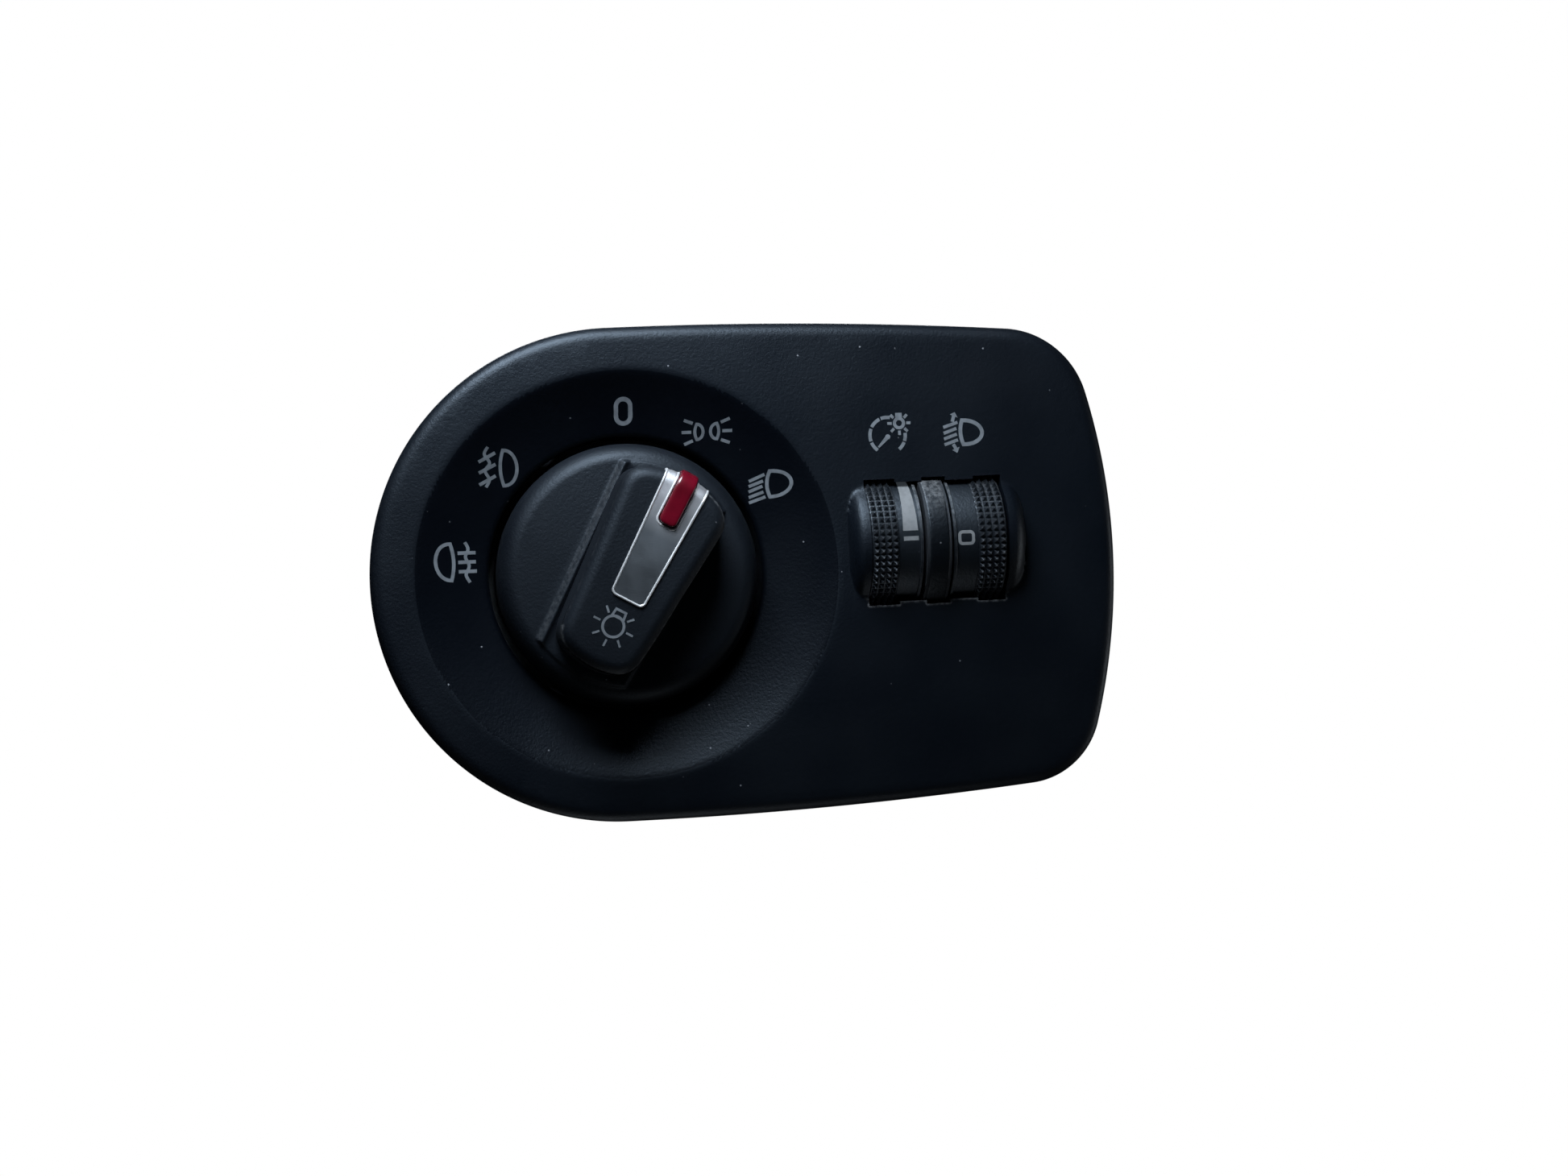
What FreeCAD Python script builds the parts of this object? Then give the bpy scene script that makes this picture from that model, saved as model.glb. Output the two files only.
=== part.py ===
import FreeCAD, Part
import math
import os

import Sketcher

# Headlight switch panel of a car: a crowned plate with a rotary and pull knob in a
# concave dish, and two knurled thumbwheels in a stepped window.
# Frame: origin on the knob's axis at the panel's seating plane, +X right along the
# thumbwheels' axle, +Z up, the face looks to -Y and the inner works lie to +Y.
# Lengths are millimetres and angles degrees.

DIMENSIONS = {
    # panel plate
    "face_height": 7.5, "panel_wall": 2.2, "edge_radius": 2.3, "crown_radius": 850,
    "dish_margin": 6.15, "left_centre": -1.2, "bow_angle": 1.09, "bow_radius": 770,
    "side_margin": 13.75, "corner_fall": 2.99, "right_radius": 114,
    "upper_corner": 15.8, "lower_corner": 13.9,
    # dish round the knob
    "dish_width": 12.65, "dish_depth": 4.85, "dish_arc": 55, "dish_rim_slope": 28,
    "dish_rim_radius": 1.2, "knob_gap": 1.25, "collar_wall": 1.8, "collar_length": 4,
    # thumbwheels and their window
    "wheel_up": 3.5, "wheel_back": -0.4, "knurl_radius": 12.2, "knurl_depth": 0.6,
    "knurl_count": 66, "drum_radius": 11.5, "flange_radius": 11.85, "flange_width": 0.6,
    "ring_bore": 9.3, "web_width": 2.2, "hub_radius": 3.2, "axle_radius": 1.5, "axle_bevel": 0.3,
    "running_gap": 0.06, "dimmer_knurl": 4.75, "dimmer_drum": 4.25, "level_drum": 4.5,
    "level_knurl": 5.1, "side_gap": 0.15, "rib_gap": 0.55, "rib_width": 4.3,
    "rib_radius": 12.3, "wheel_relief": 0.4, "window_margin": 5.05, "window_step": 0.65,
    "knurl_opening": 11, "drum_opening": 10.45, "rib_opening": 11.1,
    "cheek_radius": 11.7, "left_cheek": 3.15, "right_cheek": 3.9, "cheek_base": 5.2,
    # knob
    "rest_turn": 30, "knob_radius": 22.5, "knob_band": 3.2, "knob_floor": 8.6,
    "shoulder_drop": 4.5, "shoulder_arc": 5.76, "skirt_back": 5.2, "skirt_wall": 2,
    "floor_wall": 2.2, "plinth_height": 0.9, "plinth_half": 10.05, "plinth_taper": 1.5,
    "plinth_shift": -0.3, "plinth_inset": 2.5,
    "grip_height": 18.5, "grip_top_half": 9.7, "grip_foot_half": 7.75, "grip_shift": 0.35,
    "crest_inset": 1.1, "crest_rise": 2.8, "heel_inset": 1.85, "heel_rise": 2.25,
    "grip_corner": 3.4, "grip_edge": 2.2, "trim_top_half": 4.2, "trim_foot_half": 3.1,
    "trim_shift": 0.45, "trim_foot": -4.9, "trim_depth": 0.9, "trim_proud": 0.35,
    "trim_fold": 3.2, "lens_half": 1.62, "lens_foot": 9.3, "lens_bevel": 0.4,
    "lens_proud": 0.9, "lens_reach": 1.1, "inlay_gap": 0.08,
    # turning and pulling works
    "shaft_half": 3, "shaft_gap": 0.15, "shaft_back": 30, "socket_radius": 6.2,
    "socket_back": 3, "neck_radius": 7, "neck_front": 5.8, "plate_front": 6.2,
    "plate_width": 1.6, "rotor_gap": 0.5, "rotor_room": 8.5, "rotor_width": 2.5,
    "rotor_back": 18, "detent_radius": 1.7, "detent_depth": 0.9, "detent_step": 30,
    "detent_gap": 0.35, "spring_thick": 0.45, "pull_travel": 8,
    "spring_reach": 12.9, "spring_flank": 2.7, "clip_radius": 4.6, "clip_width": 1,
    "clip_end": 1, "clip_mouth": 2.25, "clip_notch": 0.9, "groove_outer": 4.8,
    "groove_inner": 2.4,
    # circuit board and contacts
    "board_front": 16, "board_width": 1.6, "board_gap": 0.6, "track_width": 0.25,
    "track_inner": 11, "track_band": 6.2, "contact_gap": 0.3, "leaf_width": 3,
    "leaf_thick": 0.4, "led_size": 2.4, "led_height": 1.5, "led_gap": 1,
    "wheel_led_half": 0.6, "wheel_led_gap": 1.6,
    # rear housing
    "rim_seat": 4, "flange_plate": 2, "barrel_margin": 12.55, "box_wall": 2,
    "box_side": 5.85, "box_room": 5.3, "box_back": 22, "box_corner": 4, "box_edge": 1.15,
    "stiffener_reach": 21.6, "stiffener_half": 0.75, "stiffener_pitch": 4,
    "tower_radius": 8.6, "tower_bore": 6.4, "tower_back": 36,
    "tube_radius": 9.2, "tube_front": 13.2, "post_radius": 2.2, "post_inset": 4.7,
    "boss_radius": 3, "boss_bore": 1.3, "screw_radius": 1.2, "head_radius": 2.5,
    "head_height": 1.5, "screw_reach": 3.2, "screw_inset": 9.3, "screw_turn": 231,
    "top_screw_x": 34, "top_screw_inset": 6.56, "side_screw_inset": 7.9,
    "side_screw_up": 13.56, "seat_sink": 0.5,
    # connector
    "plug_x": 34, "plug_half_width": 14, "plug_half_height": 6.6, "plug_wall": 1.5,
    "plug_back": 38, "pin_half": 0.4, "pin_row": 3, "pin_pitch": 5, "pin_back": 33.2,
    "pin_gap": 0.1,
    # wheel carrier and sensing
    "carrier_front": 12.9, "carrier_width": 1.6, "arm_width": 2.4, "arm_radius": 3.4,
    "arm_gap": 0.35, "ring_track_inner": 4.2, "ring_track_outer": 8.6,
    "ring_track_width": 0.8, "tail_half": 2.5, "tail_width": 0.5, "tail_inset": 1.2,
    "tail_gap": 0.2, "wiper_foot": 0.6, "wiper_root": 1.5, "wiper_rise": 1.2,
    "wiper_inset": 0.8, "wiper_shoe": 0.5,
    # light guide and spring clips
    "guide_margin": 1.3, "guide_gap": 0.35, "guide_sweep": 175,
    "guide_turn": -12, "clip_strip": 0.6, "clip_half_width": 4, "clip_depth": 13,
    "clip_bow": 3.4, "clip_inset": 12, "clip_pitch": 22, "clip_ramp": 1.8,
    "clip_crest": 3.6, "clip_mitre": 0.24, "clip_tip": 2.38,
}

PLACES = {"left": -1, "right": 1}

# How far from its expected place an edge may lie and still be picked for rounding.
EDGE_PICK = 0.7
RIM_PICK = 0.8


class Size:
    """A number together with the sheet formula that it comes from."""

    def __init__(self, value, text):
        self.value = float(value)
        self.text = text

    def __add__(self, other):
        other = size(other)
        return Size(self.value + other.value, f"({self.text} + {other.text})")

    def __sub__(self, other):
        other = size(other)
        return Size(self.value - other.value, f"({self.text} - {other.text})")

    def __mul__(self, other):
        other = size(other)
        return Size(self.value * other.value, f"({self.text} * {other.text})")

    def __truediv__(self, other):
        other = size(other)
        return Size(self.value / other.value, f"({self.text} / {other.text})")

    def __radd__(self, other):
        return size(other) + self

    def __rsub__(self, other):
        return size(other) - self

    def __rmul__(self, other):
        return size(other) * self

    def __neg__(self):
        return Size(-self.value, f"(0 - {self.text})")


def size(number):
    return number if isinstance(number, Size) else Size(number, f"({number})")


def root(number):
    return Size(math.sqrt(number.value), f"sqrt({number.text})")


def cosine(angle):
    angle = size(angle)
    return Size(math.cos(math.radians(angle.value)), f"cos({angle.text})")


def sine(angle):
    angle = size(angle)
    return Size(math.sin(math.radians(angle.value)), f"sin({angle.text})")


def chord_half(radius, offset):
    """Half of the chord that a circle leaves at an offset from its centre."""
    return root(radius * radius - offset * offset)


doc = FreeCAD.newDocument("headlight_switch")
sheet = doc.addObject("Spreadsheet::Sheet", "sizes")
for row, (word, number) in enumerate(DIMENSIONS.items(), start=1):
    sheet.set(f"A{row}", word.replace("_", " "))
    sheet.set(f"B{row}", str(number))
    sheet.setAlias(f"B{row}", word)
doc.recompute()


class Sheet:
    """The driving dimensions, read as sizes by their names."""

    def __getattr__(self, word):
        return Size(sheet.get(word), f"sizes.{word}")


s = Sheet()


def bind(thing, path, value):
    """Sets a property and ties it to its formula."""
    value = size(value)
    thing.setExpression(path, value.text)


def new_body(name, several=False):
    body = doc.addObject("PartDesign::Body", name)
    body.Label = name
    body.AllowCompound = several
    return body


def plane(body, role):
    return next(f for f in body.Origin.OriginFeatures if f.Role == role)


def arc_edge(start, end, radius):
    """The short arc from start to end; a positive radius turns to the left."""
    dx = end[0] - start[0]
    dy = end[1] - start[1]
    span = math.hypot(dx, dy)
    rise = math.sqrt(max(radius * radius - span * span / 4, 0))
    side = 1 if radius > 0 else -1
    cx = (start[0] + end[0]) / 2 - side * dy / span * rise
    cy = (start[1] + end[1]) / 2 + side * dx / span * rise
    first, last = (start, end) if radius > 0 else (end, start)
    circle = Part.Circle(FreeCAD.Vector(cx, cy, 0), FreeCAD.Vector(0, 0, 1), abs(radius))
    begin = math.atan2(first[1] - cy, first[0] - cx)
    finish = math.atan2(last[1] - cy, last[0] - cx)
    return Part.ArcOfCircle(circle, begin, finish)


def add_loop(sketch, corners):
    """A closed outline; a corner with a third value starts an arc of that radius."""
    base = sketch.GeometryCount
    count = len(corners)
    ends = []
    for index, corner in enumerate(corners):
        after = corners[(index + 1) % count]
        start = [size(value).value for value in corner]
        end = [size(value).value for value in after[:2]]
        if len(corner) == 3:
            sketch.addGeometry(arc_edge(start[:2], end, start[2]), False)
            ends.append((1, 2) if start[2] > 0 else (2, 1))
        else:
            line = Part.LineSegment(FreeCAD.Vector(*start, 0), FreeCAD.Vector(*end, 0))
            sketch.addGeometry(line, False)
            ends.append((1, 2))
    for index, corner in enumerate(corners):
        after = (index + 1) % count
        joint = Sketcher.Constraint(
            "Coincident", base + index, ends[index][1], base + after, ends[after][0])
        sketch.addConstraint(joint)
    for index, corner in enumerate(corners):
        for axis, value in zip(("DistanceX", "DistanceY"), corner):
            constrain(sketch, (axis, -1, 1, base + index, ends[index][0]), value)
        if len(corner) == 3:
            radius = size(corner[2])
            constrain(sketch, ("Radius", base + index), -radius if radius.value < 0 else radius)


def add_circle(sketch, across, up, radius):
    index = sketch.GeometryCount
    centre = FreeCAD.Vector(size(across).value, size(up).value, 0)
    sketch.addGeometry(Part.Circle(centre, FreeCAD.Vector(0, 0, 1), size(radius).value), False)
    constrain(sketch, ("DistanceX", -1, 1, index, 3), across)
    constrain(sketch, ("DistanceY", -1, 1, index, 3), up)
    constrain(sketch, ("Radius", index), radius)


def constrain(sketch, terms, value):
    value = size(value)
    index = sketch.addConstraint(Sketcher.Constraint(*terms, value.value))
    if "sizes." in value.text:
        sketch.setExpression(f"Constraints[{index}]", value.text)


def new_sketch(body, name, role, loops=(), circles=(), shift=(0, 0, 0)):
    """A fully sized sketch on an origin plane of its body."""
    sketch = body.newObject("Sketcher::SketchObject", name)
    sketch.AttachmentSupport = [(plane(body, role), "")]
    sketch.MapMode = "FlatFace"
    for axis, value in zip("xyz", shift):
        bind(sketch, f"AttachmentOffset.Base.{axis}", value)
    for loop in loops:
        add_loop(sketch, loop)
    for circle in circles:
        add_circle(sketch, *circle)
    doc.recompute()
    return sketch


def grown(body, feature, adds):
    """Checks that a feature changed its body the way it should."""
    doc.recompute()
    before = feature.BaseFeature.Shape.Volume if feature.BaseFeature else 0
    after = feature.Shape.Volume
    if (after > before + 1e-6) != adds:
        raise RuntimeError(f"{body.Label}: {feature.Label} changed {before:.3f} to {after:.3f}")
    return feature


def extrude(body, name, sketch, length, kind="PartDesign::Pad", back=False, both=False, draft=0):
    feature = body.newObject(kind, name)
    feature.Profile = sketch
    feature.SideType = "Symmetric" if both else "One side"
    feature.Reversed = back
    bind(feature, "Length", length)
    if draft:
        feature.TaperAngle = draft
    return grown(body, feature, kind == "PartDesign::Pad")


def pad(body, name, sketch, length, **options):
    return extrude(body, name, sketch, length, **options)


def pocket(body, name, sketch, length, **options):
    return extrude(body, name, sketch, length, kind="PartDesign::Pocket", **options)


def turn(body, name, sketch, axis="V_Axis", angle=360, both=False, cuts=False):
    feature = body.newObject("PartDesign::Groove" if cuts else "PartDesign::Revolution", name)
    feature.Profile = sketch
    feature.ReferenceAxis = (sketch, [axis])
    feature.Midplane = both
    bind(feature, "Angle", angle)
    return grown(body, feature, not cuts)


def spread(body, name, features, role, count, angle=360):
    """Copies features round one of the body's own axes."""
    pattern = body.newObject("PartDesign::PolarPattern", name)
    pattern.Originals = features
    pattern.Axis = (plane(body, role), [""])
    bind(pattern, "Angle", angle)
    bind(pattern, "Occurrences", count)
    body.Tip = pattern
    doc.recompute()
    return pattern


def dress(body, name, amount, wanted, kind="PartDesign::Fillet"):
    """Rounds or bevels the edges that a test picks."""
    base = body.Tip
    names = [f"Edge{i}" for i, edge in enumerate(base.Shape.Edges, start=1) if wanted(edge)]
    feature = body.newObject(kind, name)
    feature.Base = (base, names)
    bind(feature, "Radius" if kind == "PartDesign::Fillet" else "Size", amount)
    doc.recompute()
    if near(feature.Shape.Volume, base.Shape.Volume, 1e-6):
        raise RuntimeError(f"{body.Label}: {name} changed nothing")
    return feature


def near(first, second, slack=0.05):
    return abs(first - second) < slack


def runs_along(edge, axis):
    """True for a straight edge that runs along one axis, 0 for X, 1 for Y, 2 for Z."""
    box = edge.BoundBox
    spans = [box.XLength, box.YLength, box.ZLength]
    return spans.pop(axis) > 0.05 and max(spans) < 0.01


def polar(radius, angle):
    """A place at a clockwise angle from the top, seen from the front."""
    return radius * sine(angle), radius * cosine(angle)


def box_loop(left, foot, right, top):
    return [(left, foot), (right, foot), (right, top), (left, top)]


# Circles about the knob's axis, each a step out from the one inside it
knob_face_radius = s.knob_radius - s.knob_band
hole_radius = s.knob_radius + s.knob_gap
collar = hole_radius + s.collar_wall
dish_radius = hole_radius + s.dish_width
left_radius = dish_radius + s.dish_margin
barrel_radius = left_radius - s.barrel_margin
post_circle = barrel_radius - s.post_inset
rotor_radius = barrel_radius - s.box_wall - s.rotor_room
track_outer = s.track_inner + s.track_band

# The bar's bowed ends
grip_crest = knob_face_radius - s.crest_inset
grip_top = grip_crest - s.crest_rise
grip_heel = s.heel_inset - knob_face_radius
grip_foot = grip_heel + s.heel_rise

# Places along the thumbwheels' axle
window_left = dish_radius + s.window_margin
dimmer_left = window_left + s.side_gap
dimmer_width = s.dimmer_knurl + s.dimmer_drum
rib_left = dimmer_left + dimmer_width + s.rib_gap
rib_right = rib_left + s.rib_width
level_left = rib_right + s.rib_gap
level_width = s.level_drum + s.level_knurl
window_right = level_left + level_width + s.rib_gap
hub_bore = s.axle_radius + s.running_gap

# The plate's right corners and the wheels' box
corner_across = window_right + s.side_margin
corner_up = left_radius - s.corner_fall
box_right = window_right + s.box_side
box_top = s.wheel_up + s.knurl_radius + s.box_room
box_foot = s.wheel_up - s.knurl_radius - s.box_room

# Places along the knob's axis
plate_back = s.plate_front + s.plate_width
rotor_front = plate_back + s.rotor_gap
rotor_rear = rotor_front + s.rotor_width
board_back = s.board_front + s.board_width
box_inner = s.box_back - s.box_wall
track_front = s.board_front - s.track_width
dish_floor = s.dish_depth - s.face_height
crown_fall = s.crown_radius - chord_half(s.crown_radius, left_radius)
cavity = s.face_height - s.panel_wall - crown_fall

left_screw = polar(left_radius - s.screw_inset, s.screw_turn)
panel_screws = [
    (s.left_centre + left_screw[0], left_screw[1]),
    (s.top_screw_x, corner_up - s.top_screw_inset),
    (s.top_screw_x, s.top_screw_inset - corner_up),
    (corner_across - s.side_screw_inset, s.side_screw_up - corner_up),
]
post_angles = [90, 212, 328]
led_angles = [-84, -48, 2, 31, 61]


def panel_outline(inset):
    """The plate's outline, with every side moved inwards by an inset."""
    bow = left_radius - inset
    across = s.left_centre - bow * sine(s.bow_angle)
    up = bow * cosine(s.bow_angle)
    right = corner_across - inset
    top = corner_up - inset
    return [
        (across, up, -(s.bow_radius - inset)),
        (right, top, -(s.right_radius - inset)),
        (right, -top, -(s.bow_radius - inset)),
        (across, -up, -bow),
    ]


def keyhole(inset):
    """The round barrel with the wheels' box on its right, moved inwards by an inset."""
    radius = barrel_radius - inset
    top = box_top - inset
    foot = box_foot + inset
    right = box_right - inset
    return [
        (chord_half(radius, top), top),
        (right, top),
        (right, foot),
        (chord_half(radius, foot), foot, -radius),
        (-radius, 0, -radius),
    ]


def make_front_panel():
    body = new_body("front_panel")
    outline = new_sketch(body, "panel_outline", "XZ_Plane", [panel_outline(size(0))])
    pad(body, "plate", outline, s.face_height)
    corner_x = corner_across.value
    for name, side, amount in (("upper", 1, s.upper_corner), ("lower", -1, s.lower_corner)):
        dress(body, f"{name}_corner_round", amount, lambda edge: runs_along(edge, 1)
              and near(edge.CenterOfMass.x, corner_x) and edge.CenterOfMass.z * side > 0)

    reach = left_radius * 2
    fall = s.crown_radius - chord_half(s.crown_radius, reach)
    front = -s.face_height
    crown = new_sketch(body, "crown", "YZ_Plane", [[
        (front * 2, -reach), (front + fall, -reach, -s.crown_radius),
        (front + fall, reach), (front * 2, reach)]])
    pocket(body, "crowning", crown, corner_across * 4, both=True)
    low = s.edge_radius.value - s.face_height.value
    dress(body, "edge_round", s.edge_radius, lambda edge: edge.BoundBox.YMax < low + EDGE_PICK)

    cheeks = new_sketch(body, "cheek_profile", "XY_Plane", [
        [(window_left, -s.cheek_base), (window_left, -s.cheek_radius, -s.left_cheek),
         (window_left - s.left_cheek, s.left_cheek - s.cheek_radius),
         (window_left - s.left_cheek, -s.cheek_base)],
        [(window_right + s.right_cheek, -s.cheek_base),
         (window_right + s.right_cheek, s.right_cheek - s.cheek_radius, -s.right_cheek),
         (window_right, -s.cheek_radius), (window_right, -s.cheek_base)],
    ], shift=(0, s.wheel_back, s.wheel_up))
    turn(body, "cheeks", cheeks, "H_Axis", 128, both=True)

    inner = new_sketch(body, "inner_outline", "XZ_Plane", [panel_outline(s.panel_wall)])
    pocket(body, "rear_cavity", inner, cavity, back=True)

    hole = hole_radius
    ring = new_sketch(body, "dish_ring", "XY_Plane", [[
        (hole - 0.5, s.panel_wall - s.face_height), (dish_radius, s.panel_wall - s.face_height),
        (dish_radius, -cavity), (collar, dish_floor + s.panel_wall),
        (collar, s.collar_length), (hole - 0.5, s.collar_length)]])
    turn(body, "dish_back", ring)
    lip = s.dish_rim_radius * 2
    lip_run = lip * cosine(s.dish_rim_slope) / sine(s.dish_rim_slope)
    dish = new_sketch(body, "dish_profile", "XY_Plane", [[
        (0, front - lip), (dish_radius + lip_run, front - lip), (dish_radius, front, s.dish_arc),
        (hole, dish_floor), (hole, s.collar_length + 1), (0, s.collar_length + 1)]])
    turn(body, "dish", dish, cuts=True)
    rim = dish_radius.value
    low = s.dish_rim_radius.value - s.face_height.value
    dress(body, "dish_rim_round", s.dish_rim_radius, lambda edge: edge.BoundBox.XLength > rim
          and near(edge.BoundBox.XMax, rim, RIM_PICK) and edge.BoundBox.YMax < low + RIM_PICK)

    step = s.window_step
    bounds = [window_left, dimmer_left + s.dimmer_knurl + step, rib_left + step,
              rib_right + step, level_left + s.level_drum + step, window_right]
    heights = [s.knurl_opening, s.drum_opening, s.rib_opening, s.drum_opening, s.knurl_opening]
    upper = []
    lower = []
    for left, right, half in zip(bounds, bounds[1:], heights):
        upper += [(left, s.wheel_up + half), (right, s.wheel_up + half)]
        lower = [(right, s.wheel_up - half), (left, s.wheel_up - half)] + lower
    window = new_sketch(body, "window", "XZ_Plane", [upper + lower], shift=(0, 0, -1))
    pocket(body, "window_cut", window, s.face_height + s.cheek_radius, back=True)

    relief = new_sketch(body, "wheel_relief", "XY_Plane", [box_loop(
        window_left, -s.knurl_radius - s.wheel_relief, window_right, size(0))],
        shift=(0, s.wheel_back, s.wheel_up))
    turn(body, "wheel_relief_cut", relief, "H_Axis", cuts=True)

    bosses = new_sketch(body, "boss_circles", "XZ_Plane",
                        circles=[(x, z, s.boss_radius) for x, z in panel_screws])
    pad(body, "bosses", bosses, cavity + 0.5)
    pilots = new_sketch(body, "pilot_circles", "XZ_Plane",
                        circles=[(x, z, s.boss_bore) for x, z in panel_screws])
    pocket(body, "pilots", pilots, s.screw_reach, back=True)
    return body


def make_rear_housing():
    body = new_body("rear_housing")
    flange = new_sketch(body, "flange_outline", "XZ_Plane", [panel_outline(s.rim_seat)])
    pad(body, "flange", flange, s.flange_plate, back=True)
    box = new_sketch(body, "box_outline", "XZ_Plane", [keyhole(size(0))])
    pad(body, "box", box, s.box_back, back=True)
    side = box_right.value
    dress(body, "box_corners", s.box_corner, lambda edge: runs_along(edge, 1)
          and near(edge.CenterOfMass.x, side))
    tower = new_sketch(body, "tower_circle", "XZ_Plane", circles=[(0, 0, s.tower_radius)])
    pad(body, "tower", tower, s.tower_back, back=True)
    shroud = new_sketch(body, "shroud_outline", "XZ_Plane", [box_loop(
        s.plug_x - s.plug_half_width - s.plug_wall, -s.plug_half_height - s.plug_wall,
        s.plug_x + s.plug_half_width + s.plug_wall, s.plug_half_height + s.plug_wall)])
    pad(body, "shroud", shroud, s.plug_back, back=True)
    back = s.box_back.value
    walls = {2: (box_top.value, box_foot.value), 0: (side,)}
    dress(body, "back_edges", s.box_edge, lambda edge: near(edge.BoundBox.YMin, back)
          and near(edge.BoundBox.YMax, back) and any(
              near(edge.CenterOfMass[axis], place) for axis in walls for place in walls[axis]))

    hollow = new_sketch(body, "hollow_outline", "XZ_Plane", [keyhole(s.box_wall)])
    pocket(body, "hollow", hollow, box_inner)
    tube = new_sketch(body, "tube_circle", "XZ_Plane", circles=[(0, 0, s.tube_radius)],
                      shift=(0, 0, -box_inner))
    pad(body, "bearing_tube", tube, box_inner - s.tube_front)
    posts = new_sketch(body, "post_circles", "XZ_Plane", circles=[
        (*polar(post_circle, angle), s.post_radius) for angle in post_angles],
        shift=(0, 0, -box_inner))
    pad(body, "posts", posts, box_inner - plate_back)
    bearing = new_sketch(body, "bearing_circle", "XZ_Plane",
                         circles=[(0, 0, s.neck_radius + s.running_gap)], shift=(0, 0, -s.tube_front + 1))
    pocket(body, "bearing_bore", bearing, s.rotor_back + s.rotor_gap - s.tube_front + 1)
    bore = new_sketch(body, "tower_bore_circle", "XZ_Plane", circles=[(0, 0, s.tower_bore)],
                      shift=(0, 0, -s.rotor_back))
    pocket(body, "tower_hollow", bore, s.tower_back - s.rotor_back - s.box_wall)

    socket = new_sketch(body, "socket_outline", "XZ_Plane", [box_loop(
        s.plug_x - s.plug_half_width, -s.plug_half_height,
        s.plug_x + s.plug_half_width, s.plug_half_height)], shift=(0, 0, -s.box_back))
    pocket(body, "socket", socket, s.plug_back - s.box_back + 1)
    slots = new_sketch(body, "pin_slots", "XZ_Plane", [
        pin_square(x, z, s.pin_half + s.pin_gap) for x, z in pin_places()],
        shift=(0, 0, -box_inner + 1))
    pocket(body, "pin_slots_cut", slots, s.box_wall + 2)

    holes = new_sketch(body, "screw_holes", "XZ_Plane",
                       circles=[(x, z, s.boss_bore) for x, z in panel_screws], shift=(0, 0, 1))
    pocket(body, "screw_holes_cut", holes, s.flange_plate + 2)
    pilots = new_sketch(body, "post_pilots", "XZ_Plane", circles=[
        (*polar(post_circle, angle), s.boss_bore) for angle in post_angles],
        shift=(0, 0, -plate_back + 1))
    pocket(body, "post_pilot_cut", pilots, s.screw_reach * 2)

    ribs = new_sketch(body, "back_ribs", "XZ_Plane", [
        box_loop(-s.stiffener_reach, row * s.stiffener_pitch - s.stiffener_half,
                 -s.tower_radius + 1, row * s.stiffener_pitch + s.stiffener_half)
        for row in (-1, 0, 1)],
        shift=(0, 0, -s.box_back + 0.5))
    pad(body, "stiffening_ribs", ribs, s.box_wall + 0.5, back=True)
    return body


def pin_square(across, up, half):
    return box_loop(across - half, up - half, across + half, up + half)


def pin_places():
    return [(s.plug_x + column * s.pin_pitch, row * s.pin_row)
            for row in (-1, 1) for column in (-2, -1, 0, 1, 2)]


def make_bearing_plate():
    body = new_body("bearing_plate")
    disc = new_sketch(body, "disc", "XZ_Plane", circles=[
        (0, 0, barrel_radius - s.box_wall - s.arm_gap),
        (0, 0, s.neck_radius + s.running_gap)], shift=(0, 0, -plate_back))
    pad(body, "plate", disc, s.plate_width)
    holes = new_sketch(body, "screw_holes", "XZ_Plane", circles=[
        (*polar(post_circle, angle), s.boss_bore) for angle in post_angles],
        shift=(0, 0, -plate_back - 1))
    pocket(body, "screw_holes_cut", holes, s.plate_width + 2, back=True)
    return body


def make_screws(name, places, seat, back):
    """Pan-head screws: back is True where they are driven in from the dash side."""
    body = new_body(name, several=True)
    side = 1 if back else -1
    heads = new_sketch(body, "head_circles", "XZ_Plane",
                       circles=[(x, z, s.head_radius) for x, z in places], shift=(0, 0, -seat))
    pad(body, "heads", heads, s.head_height, back=back)
    dress(body, "head_rounds", s.head_height / 2, lambda edge: near(
        edge.CenterOfMass.y, seat.value + side * s.head_height.value))
    shanks = new_sketch(body, "shank_circles", "XZ_Plane",
                        circles=[(x, z, s.screw_radius) for x, z in places], shift=(0, 0, -seat))
    pad(body, "shanks", shanks, s.screw_reach + s.flange_plate - s.seat_sink, back=not back)
    return body


def make_rotor():
    body = new_body("rotor")
    profile = new_sketch(body, "profile", "XY_Plane", [[
        (0, s.neck_front), (s.neck_radius, s.neck_front), (s.neck_radius, rotor_front),
        (rotor_radius, rotor_front), (rotor_radius, rotor_rear),
        (s.neck_radius, rotor_rear), (s.neck_radius, s.rotor_back), (0, s.rotor_back)]])
    turn(body, "turned", profile)
    square = new_sketch(body, "shaft_square", "XZ_Plane",
                        [pin_square(size(0), size(0), s.shaft_half + s.shaft_gap)],
                        shift=(0, 0, -s.neck_front + 1))
    pocket(body, "shaft_hole", square, s.rotor_back - s.neck_front + 2)
    away = rotor_radius + s.detent_radius - s.detent_depth
    notches = new_sketch(body, "notch_circles", "XZ_Plane", circles=[
        (*polar(away, 180 - step * s.detent_step), s.detent_radius) for step in (0, 1, 2)],
        shift=(0, 0, -rotor_front + 1))
    pocket(body, "detents", notches, s.rotor_width + 2)
    windows = new_sketch(body, "lightening", "XZ_Plane", circles=[
        (*polar((s.neck_radius + rotor_radius) / 2, angle), s.rotor_width)
        for angle in (-90, -45, 0, 45, 90)], shift=(0, 0, -rotor_front + 1))
    pocket(body, "light_holes", windows, s.rotor_width + 2)
    return turned_knob(body)


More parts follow.
